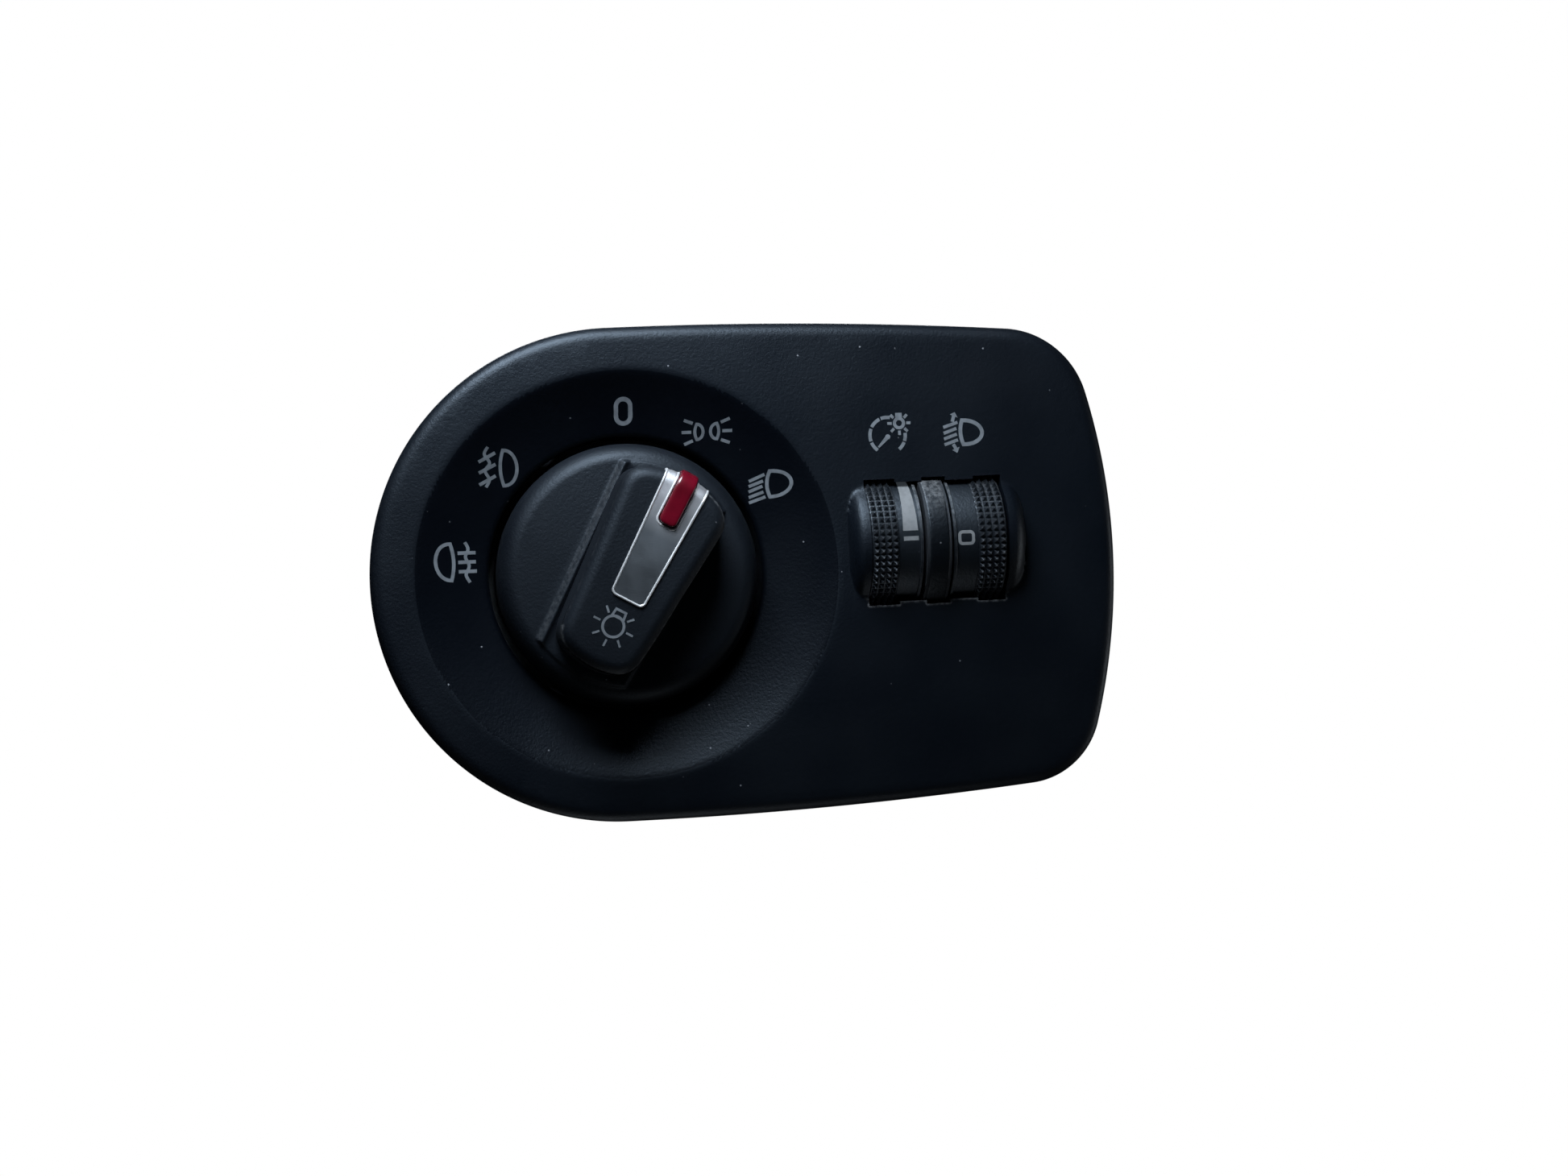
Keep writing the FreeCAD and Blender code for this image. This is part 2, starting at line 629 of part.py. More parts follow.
def make_detent_spring():
    body = new_body("detent_spring")
    tip = -(rotor_radius + s.detent_gap)
    strip = s.spring_thick
    reach = s.spring_reach
    wall = -chord_half(barrel_radius - s.box_wall - 0.15, reach)
    flank = s.spring_flank
    drop = tip - s.detent_depth - strip
    bow = new_sketch(body, "bow", "XZ_Plane", [[
        (-reach, wall), (-flank, drop - strip), (0, tip - strip * 1.3), (flank, drop - strip),
        (reach, wall), (reach - 0.2, wall + strip), (flank, drop), (0, tip),
        (-flank, drop), (-reach + 0.2, wall + strip)]], shift=(0, 0, -rotor_front))
    pad(body, "strip", bow, s.rotor_width, back=True)
    return body


def make_contact_bridge():
    body = new_body("contact_bridge", several=True)
    foot = rotor_rear
    tip = track_front - s.contact_gap
    strip = s.leaf_thick
    inner = s.track_inner
    leaf = new_sketch(body, "leaf", "YZ_Plane", [[
        (foot, -inner), (foot + strip, -inner), (foot + strip, -inner - 2),
        (tip, -track_outer + 1.4), (tip, -track_outer + 0.6),
        (tip - strip, -track_outer + 0.6), (foot, -inner - 2.2)]])
    finger = pad(body, "finger", leaf, s.leaf_width, both=True)
    spread(body, "fingers", [finger], "Y_Axis", size(3))
    return body


def make_fixed_contacts():
    body = new_body("fixed_contacts", several=True)
    strip = new_sketch(body, "strip", "XY_Plane", [box_loop(
        s.track_inner, track_front, track_outer, s.board_front)])
    sector = turn(body, "sector", strip, angle=84)
    spread(body, "sectors", [sector], "Y_Axis", size(3))
    return body


def make_circuit_board():
    body = new_body("circuit_board")
    outline = new_sketch(body, "outline", "XZ_Plane", [keyhole(s.box_wall + s.board_gap)],
                         shift=(0, 0, -board_back))
    pad(body, "board", outline, s.board_width)
    through = [(0, 0, s.tube_radius + s.board_gap)]
    through += [(*polar(post_circle, angle), s.post_radius + s.board_gap / 2)
                for angle in post_angles]
    holes = new_sketch(body, "hole_circles", "XZ_Plane", circles=through,
                       shift=(0, 0, -board_back - 1))
    pocket(body, "holes", holes, s.board_width + 2, back=True)
    slots = new_sketch(body, "pin_holes", "XZ_Plane", [
        pin_square(x, z, s.pin_half + s.pin_gap) for x, z in pin_places()],
        shift=(0, 0, -board_back - 1))
    pocket(body, "pin_holes_cut", slots, s.board_width + 2, back=True)
    return body


def make_connector_pins():
    body = new_body("connector_pins", several=True)
    squares = new_sketch(body, "squares", "XZ_Plane", [
        pin_square(x, z, s.pin_half) for x, z in pin_places()], shift=(0, 0, -s.board_front + 1))
    pad(body, "pins", squares, s.pin_back - s.board_front + 1, back=True)
    return body


def make_indicator_leds():
    body = new_body("indicator_leds", several=True)
    middle = rotor_radius + s.led_size + s.led_gap
    squares = [pin_square(*polar(middle, angle), s.led_size / 2) for angle in led_angles]
    squares.append(pin_square(rib_left + s.rib_width / 2,
                              s.wheel_up + s.knurl_radius + s.wheel_led_gap, s.wheel_led_half))
    leds = new_sketch(body, "squares", "XZ_Plane", squares, shift=(0, 0, -s.board_front))
    pad(body, "leds", leds, s.led_height)
    return body


def make_light_guide():
    """A clear ring behind the dish that carries light from the board to the signs."""
    body = new_body("light_guide")
    inner = collar + s.guide_margin
    outer = dish_radius - s.guide_margin
    section = new_sketch(body, "section", "YZ_Plane", [[
        (0, inner), (0, outer), (dish_back(outer) + s.guide_gap, outer),
        (dish_back(inner) + s.guide_gap, inner)]])
    turn(body, "ring", section, "H_Axis", s.guide_sweep, both=True)
    body.Placement = FreeCAD.Placement(FreeCAD.Vector(), FreeCAD.Rotation(
        FreeCAD.Vector(0, 1, 0), s.guide_turn.value))
    bind(body, "Placement.Rotation.Angle", s.guide_turn)
    return body


def dish_back(radius):
    """Where the back of the dish lies at a radius."""
    near_hole = dish_floor + s.panel_wall
    slope = (-cavity - near_hole) / (dish_radius - collar)
    return near_hole + (radius - collar) * slope


def make_knob_body():
    body = new_body("knob_body")
    rim = -s.knob_floor
    profile = new_sketch(body, "profile", "XY_Plane", [[
        (0, rim), (knob_face_radius, rim, s.shoulder_arc),
        (s.knob_radius, rim + s.shoulder_drop), (s.knob_radius, s.skirt_back),
        (s.knob_radius - s.skirt_wall, s.skirt_back),
        (s.knob_radius - s.skirt_wall, rim + s.shoulder_drop + s.skirt_wall / 3),
        (knob_face_radius - s.skirt_wall / 2, rim + s.floor_wall),
        (s.socket_radius, rim + s.floor_wall), (s.socket_radius, s.socket_back),
        (0, s.socket_back)]])
    turn(body, "cap", profile)
    left = s.plinth_shift - s.plinth_half
    right = s.plinth_shift + s.plinth_half
    plinth = new_sketch(body, "plinth_outline", "XZ_Plane", [[
        (left, chord_half(knob_face_radius, left)),
        (left + s.plinth_taper, s.plinth_inset - knob_face_radius, knob_face_radius),
        (right - s.plinth_taper, s.plinth_inset - knob_face_radius),
        (right, chord_half(knob_face_radius, right), knob_face_radius)]],
        shift=(0, 0, s.knob_floor - 0.5))
    pad(body, "plinth", plinth, s.plinth_height + 0.5)
    square = new_sketch(body, "shaft_square", "XZ_Plane",
                        [pin_square(size(0), size(0), s.shaft_half)],
                        shift=(0, 0, -s.socket_back - 1))
    pocket(body, "shaft_socket", square, s.knob_floor - s.floor_wall + s.socket_back + 1, back=True)
    return turned_knob(body)


def turned_knob(body):
    """Knob pieces are drawn with the pointer up and then turned to the side-light place."""
    body.Placement = FreeCAD.Placement(FreeCAD.Vector(), FreeCAD.Rotation(
        FreeCAD.Vector(0, 1, 0), s.rest_turn.value))
    bind(body, "Placement.Rotation.Angle", s.rest_turn)
    return body


def grip_outline(inset):
    """The tapered bar seen from the front, widest towards the pointer."""
    top = s.grip_top_half - inset
    foot = s.grip_foot_half - inset
    return [
        (s.grip_shift - top, grip_top),
        (s.grip_shift - foot, grip_foot, bow_radius(foot, grip_foot - grip_heel)),
        (s.grip_shift + foot, grip_foot),
        (s.grip_shift + top, grip_top, bow_radius(top, grip_crest - grip_top)),
    ]


def bow_radius(half, rise):
    """The radius of an arc over a half width that rises by an amount."""
    return (half * half + rise * rise) / (rise * 2)


def make_knob_grip():
    body = new_body("knob_grip")
    plinth_top = s.knob_floor + s.plinth_height
    bar = new_sketch(body, "bar_outline", "XZ_Plane", [grip_outline(size(0))],
                     shift=(0, 0, plinth_top))
    pad(body, "bar", bar, s.grip_height - plinth_top)
    dress(body, "corner_rounds", s.grip_corner, lambda edge: runs_along(edge, 1))
    front = -s.grip_height.value
    dress(body, "top_round", s.grip_edge, lambda edge: near(edge.BoundBox.YMin, front)
          and near(edge.BoundBox.YMax, front))
    recess = new_sketch(body, "trim_recess", "XZ_Plane", [trim_outline(s.inlay_gap)],
                        shift=(0, 0, s.grip_height - s.trim_depth))
    pocket(body, "trim_pocket", recess, s.trim_depth + 1, back=True)
    fold = new_sketch(body, "fold_recess", "XZ_Plane", [fold_outline(s.inlay_gap)],
                      shift=(0, 0, s.grip_height - s.trim_fold))
    pocket(body, "fold_pocket", fold, s.trim_fold + 1, back=True)
    return turned_knob(body)


def trim_outline(grow):
    """The trim is widest at the bar's end and runs past it."""
    top = s.trim_top_half + grow
    foot = s.trim_foot_half + grow
    return [
        (s.trim_shift - top, grip_crest + 1), (s.trim_shift - foot, s.trim_foot - grow),
        (s.trim_shift + foot, s.trim_foot - grow), (s.trim_shift + top, grip_crest + 1)]


def fold_outline(grow):
    """Where the trim turns down over the bar's end."""
    top = s.trim_top_half + grow
    edge = grip_crest - s.trim_depth - grow
    return box_loop(s.trim_shift - top, edge, s.trim_shift + top, grip_crest + 1.5)


def make_knob_trim():
    body = new_body("knob_trim")
    front = -s.grip_height - s.trim_proud
    back = s.trim_depth - s.grip_height
    end = grip_crest + s.trim_proud
    bend = s.trim_depth + s.trim_proud
    side = new_sketch(body, "side_profile", "YZ_Plane", [[
        (back, s.trim_foot), (front, s.trim_foot), (front, end - bend, -bend),
        (front + bend, end), (s.trim_fold - s.grip_height, end),
        (s.trim_fold - s.grip_height, grip_crest - s.trim_depth),
        (back, grip_crest - s.trim_depth)]], shift=(0, 0, s.trim_shift))
    pad(body, "strip", side, s.trim_top_half * 2, both=True)
    wedges = new_sketch(body, "side_wedges", "XZ_Plane", [[
        (s.trim_shift + way * (s.trim_top_half + 1), end),
        (s.trim_shift + way * (s.trim_top_half + 1), s.trim_foot - 1),
        (s.trim_shift + way * s.trim_foot_half, s.trim_foot - 1),
        (s.trim_shift + way * s.trim_foot_half, s.trim_foot),
        (s.trim_shift + way * s.trim_top_half, end)] for way in PLACES.values()])
    pocket(body, "side_taper", wedges, s.grip_height * 3, both=True)
    slot = new_sketch(body, "lens_slot", "XZ_Plane", [box_loop(
        s.trim_shift - s.lens_half - s.inlay_gap, s.lens_foot - s.inlay_gap,
        s.trim_shift + s.lens_half + s.inlay_gap, grip_crest + 2)],
        shift=(0, 0, s.grip_height - s.trim_fold - 1))
    pocket(body, "lens_slot_cut", slot, s.trim_fold + s.trim_proud + 2, back=True)
    return turned_knob(body)


def make_pointer_lens():
    body = new_body("pointer_lens")
    tip = grip_crest + s.lens_reach
    side = new_sketch(body, "side_profile", "YZ_Plane", [[
        (-(s.grip_height - s.trim_depth), s.lens_foot),
        (-(s.grip_height + s.lens_proud), s.lens_foot + s.lens_bevel),
        (-(s.grip_height + s.lens_proud), tip - s.trim_fold),
        (-(s.grip_height - s.trim_fold) - s.lens_bevel, tip),
        (-(s.grip_height - s.trim_fold), grip_crest - s.trim_depth),
        (-(s.grip_height - s.trim_depth), grip_crest - s.trim_depth)]],
        shift=(0, 0, s.trim_shift))
    pad(body, "lens", side, s.lens_half * 2, both=True)
    dress(body, "tip_round", s.trim_fold, lambda edge: runs_along(edge, 0)
          and near(edge.CenterOfMass.z, (tip - s.trim_fold).value, 0.2))
    return turned_knob(body)


def make_knob_shaft():
    body = new_body("knob_shaft")
    floor = s.knob_floor - s.floor_wall
    square = new_sketch(body, "square", "XZ_Plane",
                        [pin_square(size(0), size(0), s.shaft_half)], shift=(0, 0, floor))
    pad(body, "bar", square, floor + s.shaft_back, back=True)
    groove = new_sketch(body, "groove_ring", "XZ_Plane", circles=[
        (0, 0, s.groove_outer), (0, 0, s.groove_inner)],
        shift=(0, 0, -(s.shaft_back - s.clip_end)))
    pocket(body, "clip_groove", groove, s.clip_width, back=True)
    return turned_knob(body)


def make_shaft_clip():
    body = new_body("shaft_clip")
    ring = new_sketch(body, "ring", "XZ_Plane", circles=[
        (0, 0, s.clip_radius), (0, 0, s.groove_inner + s.inlay_gap)],
        shift=(0, 0, -(s.shaft_back - s.clip_end - s.inlay_gap)))
    pad(body, "washer", ring, s.clip_width - s.inlay_gap * 2)
    mouth = new_sketch(body, "mouth", "XZ_Plane", [box_loop(
        -s.clip_mouth, -s.clip_radius - 1, s.clip_mouth, -s.clip_notch)],
        shift=(0, 0, -s.shaft_back - 1))
    pocket(body, "mouth_cut", mouth, s.clip_width + 4, back=True)
    return turned_knob(body)


def make_wheel(name, width, knurl_start, knurl_end, hollow_right):
    """A hollow thumbwheel on its own X axis: a knurled grip and a smooth printed drum."""
    body = new_body(name)
    knurl = s.knurl_radius
    drum = s.drum_radius
    flange = s.flange_radius
    lip = s.flange_width
    hub_end = width - s.rib_gap if hollow_right else s.rib_gap
    if hollow_right:
        rim = [(0, knurl), (knurl_end, knurl), (knurl_end, drum), (width - lip, drum),
               (width - lip, flange), (width, flange), (width, s.ring_bore),
               (s.web_width, s.ring_bore), (s.web_width, s.hub_radius),
               (hub_end, s.hub_radius), (hub_end, hub_bore), (0, hub_bore)]
    else:
        web = width - s.web_width
        rim = [(0, flange), (lip, flange), (lip, drum), (knurl_start, drum),
               (knurl_start, knurl), (width, knurl), (width, hub_bore),
               (hub_end, hub_bore), (hub_end, s.hub_radius), (web, s.hub_radius),
               (web, s.ring_bore), (0, s.ring_bore)]
    profile = new_sketch(body, "profile", "XY_Plane", [rim])
    turn(body, "turned", profile, "H_Axis")
    deep = knurl - s.knurl_depth
    over = knurl + s.knurl_depth
    half = over * sine(size(180) / s.knurl_count) * 1.5
    notch = new_sketch(body, "notch", "YZ_Plane", [[(-deep, 0), (-over, half), (-over, -half)]],
                       shift=(0, 0, knurl_start))
    groove = pocket(body, "groove", notch, knurl_end - knurl_start, back=True)
    spread(body, "knurling", [groove], "X_Axis", s.knurl_count)
    return body


def make_dimmer_wheel():
    body = make_wheel("dimmer_wheel", dimmer_width, size(0), s.dimmer_knurl, True)
    return at_axle(body, dimmer_left)


def make_level_wheel():
    body = make_wheel("level_wheel", level_width, s.level_drum, level_width, False)
    return at_axle(body, level_left)


def at_axle(body, left):
    bind(body, "Placement.Base.x", left)
    bind(body, "Placement.Base.y", s.wheel_back)
    bind(body, "Placement.Base.z", s.wheel_up)
    doc.recompute()
    return body


def make_wiper(name, start, track_face, left):
    """A sprung contact arm on a thumbwheel's web that reaches towards its track."""
    body = new_body(name)
    side = 1 if track_face.value > start.value else -1
    tip = track_face - s.contact_gap * side
    strip = s.leaf_thick * side
    low = s.ring_track_inner + s.wiper_foot
    high = s.ring_track_outer - s.wiper_inset
    leaf = new_sketch(body, "leaf", "XY_Plane", [[
        (start, low), (start + strip, low), (start + strip, low + s.wiper_rise),
        (tip, high - s.wiper_shoe), (tip, high), (tip - strip, high),
        (start, low + s.wiper_root)]])
    pad(body, "arm", leaf, s.leaf_width, both=True)
    return at_axle(body, left)


def make_wheel_axle():
    body = new_body("wheel_axle")
    circle = new_sketch(body, "circle", "YZ_Plane", circles=[(0, 0, s.axle_radius)])
    pad(body, "pin", circle, axle_right - axle_left)
    dress(body, "end_bevels", s.axle_bevel, lambda edge: not runs_along(edge, 0),
          kind="PartDesign::Chamfer")
    return at_axle(body, axle_left)


def make_wheel_carrier():
    body = new_body("wheel_carrier")
    back = s.carrier_front + s.carrier_width
    inner = s.box_wall + s.arm_gap
    left_arm = dimmer_left - s.arm_gap - s.arm_width
    right_arm = level_left + level_width + s.arm_gap
    base = new_sketch(body, "base_outline", "XZ_Plane", [box_loop(
        left_arm, box_foot + inner, box_right - inner, box_top - inner)],
        shift=(0, 0, -back))
    pad(body, "base", base, s.carrier_width)
    rib = new_sketch(body, "rib_outline", "YZ_Plane", [round_nose(s.rib_radius)],
                     shift=(s.wheel_back, s.wheel_up, rib_left))
    pad(body, "rib", rib, s.rib_width)
    for name, left in (("left_arm", left_arm), ("right_arm", right_arm)):
        arm = new_sketch(body, f"{name}_outline", "YZ_Plane", [round_nose(s.arm_radius)],
                         shift=(s.wheel_back, s.wheel_up, left))
        pad(body, name, arm, s.arm_width)
    bore = new_sketch(body, "axle_circle", "YZ_Plane", circles=[(0, 0, hub_bore)],
                      shift=(s.wheel_back, s.wheel_up, left_arm - 1))
    pocket(body, "axle_bore", bore, right_arm + s.arm_width - left_arm + 2, back=True)
    depth = s.tail_width + s.inlay_gap
    for name, face in (("left_slot", rib_left - 1), ("right_slot", rib_right - depth)):
        slot = new_sketch(body, f"{name}_outline", "YZ_Plane", [box_loop(
            s.ring_track_inner + s.tail_inset - s.tail_gap, -s.tail_half - s.inlay_gap * 2,
            back - s.wheel_back + 1, s.tail_half + s.inlay_gap * 2)],
            shift=(s.wheel_back, s.wheel_up, face))
        pocket(body, name, slot, depth + 1, back=True)
    return body


def round_nose(radius):
    """An upright wall with a round front about the axle, back to the carrier's base."""
    back = s.carrier_front - s.wheel_back + s.carrier_width / 2
    return [(back, radius), (0, radius, radius), (-radius, 0, radius), (0, -radius), (back, -radius)]


def make_ring_track(name, face, side):
    """A resistive ring on the rib with a tail that lies in the rib's slot."""
    body = new_body(name)
    ring = new_sketch(body, "ring", "YZ_Plane", circles=[
        (0, 0, s.ring_track_outer), (0, 0, s.ring_track_inner)],
        shift=(s.wheel_back, s.wheel_up, face))
    pad(body, "ring_plate", ring, s.ring_track_width, back=side < 0)
    tail = new_sketch(body, "tail_outline", "YZ_Plane", [box_loop(
        s.ring_track_inner + s.tail_inset, -s.tail_half,
        s.board_front - s.wheel_back - s.inlay_gap,
        s.tail_half)], shift=(s.wheel_back, s.wheel_up, face))
    pad(body, "tail", tail, s.tail_width, back=side > 0)
    return body


def make_spring_clips():
    body = new_body("spring_clips", several=True)
    strip = s.clip_strip
    profile = []
    for wall, way in ((box_top, 1), (box_foot, -1)):
        profile.append([
            (s.flange_plate, wall), (s.clip_depth, wall), (s.clip_depth, wall + way * strip),
            (s.flange_plate + s.clip_ramp, wall + way * strip),
            (s.flange_plate + s.clip_crest, wall + way * s.clip_bow),
            (s.clip_depth, wall + way * s.clip_tip),
            (s.clip_depth, wall + way * (s.clip_tip + strip)),
            (s.flange_plate + s.clip_crest - s.clip_mitre, wall + way * (s.clip_bow + strip)),
            (s.flange_plate, wall + way * strip)])
    for name, place in (("left", box_right - s.clip_inset - s.clip_pitch), ("right", box_right - s.clip_inset)):
        strips = new_sketch(body, f"{name}_profiles", "YZ_Plane", profile, shift=(0, 0, place))
        pad(body, f"{name}_clips", strips, s.clip_half_width * 2, both=True)
    return body


axle_left = dimmer_left - s.arm_gap - s.arm_width
axle_right = level_left + level_width + s.arm_gap + s.arm_width

bodies = [
    make_front_panel(), make_rear_housing(), make_bearing_plate(),
    make_screws("housing_screws", panel_screws, s.flange_plate, True),
    make_screws("plate_screws", [polar(post_circle, a) for a in post_angles],
                s.plate_front, False),
    make_circuit_board(), make_connector_pins(), make_fixed_contacts(), make_indicator_leds(),
    make_light_guide(), make_detent_spring(), make_wheel_carrier(), make_wheel_axle(),
    make_ring_track("dimmer_track", rib_left, -1), make_ring_track("level_track", rib_right, 1),
    make_spring_clips(),
    make_rotor(), make_contact_bridge(),
    make_knob_body(), make_knob_grip(), make_knob_trim(), make_pointer_lens(),
    make_knob_shaft(), make_shaft_clip(),
    make_dimmer_wheel(), make_wiper("dimmer_wiper", s.web_width,
                                    rib_left - dimmer_left - s.ring_track_width, dimmer_left),
    make_level_wheel(), make_wiper("level_wiper", level_width - s.web_width,
                                   rib_right + s.ring_track_width - level_left, level_left),
]


def check():
    for thing in doc.Objects:
        if "Invalid" in thing.State or "Error" in thing.State:
            raise RuntimeError(f"{thing.Label} did not build: {thing.State}")
    for body in bodies:
        if body.Shape.isNull() or not body.Shape.isValid():
            raise RuntimeError(f"{body.Label} has no valid shape")


doc.recompute()
check()
os.makedirs("parts", exist_ok=True)
for body in bodies:
    body.Shape.exportStep(os.path.join("parts", f"{body.Label}.step"))
    box = body.Shape.BoundBox
    print(body.Label, len(body.Shape.Solids), round(body.Shape.Volume, 1), box)
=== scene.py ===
from math import asin, atan2, ceil, copysign, cos, hypot, pi, radians, sin, sqrt, tan

import bmesh
import bpy
from mathutils import Matrix, Vector
from mathutils.geometry import delaunay_2d_cdt


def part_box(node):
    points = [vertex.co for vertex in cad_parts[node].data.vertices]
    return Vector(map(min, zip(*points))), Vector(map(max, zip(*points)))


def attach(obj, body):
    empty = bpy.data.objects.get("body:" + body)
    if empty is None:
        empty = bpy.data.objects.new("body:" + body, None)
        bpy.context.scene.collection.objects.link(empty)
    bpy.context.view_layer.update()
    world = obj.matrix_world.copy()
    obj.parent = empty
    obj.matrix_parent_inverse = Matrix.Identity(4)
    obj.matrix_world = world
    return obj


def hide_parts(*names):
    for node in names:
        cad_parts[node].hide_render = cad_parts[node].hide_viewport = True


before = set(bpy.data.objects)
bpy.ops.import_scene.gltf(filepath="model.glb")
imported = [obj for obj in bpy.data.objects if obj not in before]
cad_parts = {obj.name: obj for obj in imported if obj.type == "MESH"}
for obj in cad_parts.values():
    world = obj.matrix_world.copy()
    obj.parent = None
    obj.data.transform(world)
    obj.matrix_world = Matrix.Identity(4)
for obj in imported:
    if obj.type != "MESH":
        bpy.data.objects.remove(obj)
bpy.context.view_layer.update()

# A car's light-switch panel: plate, turn-and-pull knob and two thumbwheels.
# Shapes are drawn in millimetres in the row's frame, +X right, +Z up, the face to -Y.

MM = 0.001

# Panel plate
FACE = 7.5
CROWN = 850.0
EDGE = 2.3
WALL = 2.2
LEFT_CENTRE, LEFT_RADIUS = Vector((-1.2, 0)), 42.55
BOW_RADIUS, BOW_ANGLE = 770.0, 1.09
CORNER = Vector((79.9, 39.56))
RIGHT_RADIUS = 114.0
UPPER_CORNER, LOWER_CORNER = 15.8, 13.9
CAVITY = 4.24
SEAT_BEVEL = 0.25
FLARE, FLARE_START = 12.1, 10.2

# Dish round the knob
DISH, DISH_ARC, HOLE, HOLE_FLOOR = 36.4, 55.0, 23.75, -2.65
COLLAR, COLLAR_END = 25.55, 4.0
LIP = 0.9

# Thumbwheels on their common axle; VALLEY and TIP are shares of a pyramid's pitch
WHEEL_Y, WHEEL_Z = -0.4, 3.5
KNURL, DRUM, FLANGE, RIB = 12.2, 11.5, 11.85, 12.3
KNURL_DEPTH, KNURL_ROWS, KNURL_COLUMNS = 0.62, 66, 4
KNURL_FOOT = KNURL - KNURL_DEPTH
VALLEY, TIP = 0.09, 0.46
RING_BORE, WEB, HUB, HUB_INSET, AXLE_HOLE = 9.3, 2.2, 3.2, 0.55, 1.56
DIGIT_X = 58.3
WINDOW_STEP = 0.65
HALF_HEIGHTS = [11.0, 10.45, 11.1, 10.45, 11.0]
CHEEK, LEFT_CHEEK, RIGHT_CHEEK = 11.7, 3.15, 3.9

# Knob, drawn with its pointer up and then turned
REST_TURN = 30.0
KNOB, KNOB_FACE, KNOB_FLOOR, PLINTH, GRIP_TOP = 22.5, 19.3, 8.6, 9.5, 18.5
PLINTH_SHIFT = -0.3
CAP_CROWN, CAP_RISE, BAR_CROWN = 260.0, 0.25, 180.0
CAP_POINTS, CAP_FOOT, CAP_WALL, CAP_FLOOR = 200, 5.2, 2, -6.4
SOCKET, SOCKET_END = 6.2, 3.0
BAR_EDGE, BAR_SHOULDER = 2.2, 0.09


def span_x(node):
    """Left and right of a node's box."""
    low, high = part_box(node)
    return low[0] / MM, high[0] / MM


DIMMER_LEFT, DIMMER_RIGHT = span_x("dimmer_wheel")
LEVEL_LEFT, LEVEL_RIGHT = span_x("level_wheel")
LEFT_GAP, GAP = 0.15, 0.55
RIB_LEFT, RIB_RIGHT = DIMMER_RIGHT + GAP, LEVEL_LEFT - GAP
WINDOW_LEFT, WINDOW_RIGHT = DIMMER_LEFT - LEFT_GAP, LEVEL_RIGHT + GAP
DIMMER_KNURL, LEVEL_DRUM = 4.75, 4.5
STEPS = [WINDOW_LEFT, DIMMER_LEFT + DIMMER_KNURL + WINDOW_STEP, RIB_LEFT + WINDOW_STEP,
         RIB_RIGHT + WINDOW_STEP, LEVEL_LEFT + LEVEL_DRUM + WINDOW_STEP, WINDOW_RIGHT]
# The window's openings as (left, right, half the height)
OPENINGS = list(zip(STEPS, STEPS[1:], HALF_HEIGHTS))


# Materials

def material(name, colour, roughness, **sockets):
    """A plain material; in the names of its other inputs _ stands for a space."""
    mat = bpy.data.materials.new(name)
    mat.use_nodes = True
    shader = mat.node_tree.nodes["Principled BSDF"]
    shader.inputs["Base Color"].default_value = (*colour, 1)
    shader.inputs["Roughness"].default_value = roughness
    for word, value in sockets.items():
        shader.inputs[word.replace("_", " ")].default_value = value
    return mat


class Nodes:
    """Short calls for building one material's node tree."""

    def __init__(self, mat):
        self.tree = mat.node_tree
        self.shader = self.tree.nodes["Principled BSDF"]
        self.place = self.add("ShaderNodeTexCoord").outputs["Object"]

    def add(self, kind, **settings):
        node = self.tree.nodes.new(kind)
        for word, value in settings.items():
            setattr(node, word, value)
        return node

    def feed(self, node, values):
        """Gives inputs, by name or number, a number, a colour or another node's output."""
        for key, value in values.items():
            if isinstance(value, tuple):
                node.inputs[key].default_value = (*value, 1)
            elif isinstance(value, (int, float)):
                node.inputs[key].default_value = value
            else:
                self.tree.links.new(value, node.inputs[key])
        return node.outputs[0]

    def noise(self, scale, detail, stretch=None, roughness=0.5):
        place = self.place
        if stretch:
            mapping = self.add("ShaderNodeMapping")
            mapping.inputs["Scale"].default_value = stretch
            place = self.feed(mapping, {"Vector": place})
        return self.feed(self.add("ShaderNodeTexNoise"), {
            "Scale": scale, "Detail": detail, "Roughness": roughness, "Vector": place})

    def ramp(self, fac, stops):
        node = self.add("ShaderNodeValToRGB")
        for element, (position, colour) in zip(node.color_ramp.elements, stops):
            element.position = position
            element.color = (*colour, 1)
        return self.feed(node, {"Fac": fac})

    def range(self, fac, low, high, to_low, to_high):
        return self.feed(self.add("ShaderNodeMapRange"), {0: fac, 1: low, 2: high, 3: to_low, 4: to_high})

    def mix(self, fac, first, second):
        node = self.add("ShaderNodeMix", data_type="RGBA")
        self.feed(node, {0: fac, 6: first, 7: second})
        return node.outputs[2]

    def math(self, operation, first, second):
        return self.feed(self.add("ShaderNodeMath", operation=operation), {0: first, 1: second})

    def mottle(self, scale, detail, dark, light, top=0.6):
        """Clouds the base colour between two colours."""
        clouds = self.ramp(self.noise(scale, detail), [(0.3, dark), (top, light)])
        self.feed(self.shader, {"Base Color": clouds})

    def bump(self, *layers):
        """Stacks (height, strength, distance in metres) layers on the shader's normal."""
        below = {}
        for height, strength, distance in layers:
            values = {"Height": height, "Strength": strength, "Distance": distance, **below}
            below = {"Normal": self.feed(self.add("ShaderNodeBump"), values)}
        self.feed(self.shader, below)


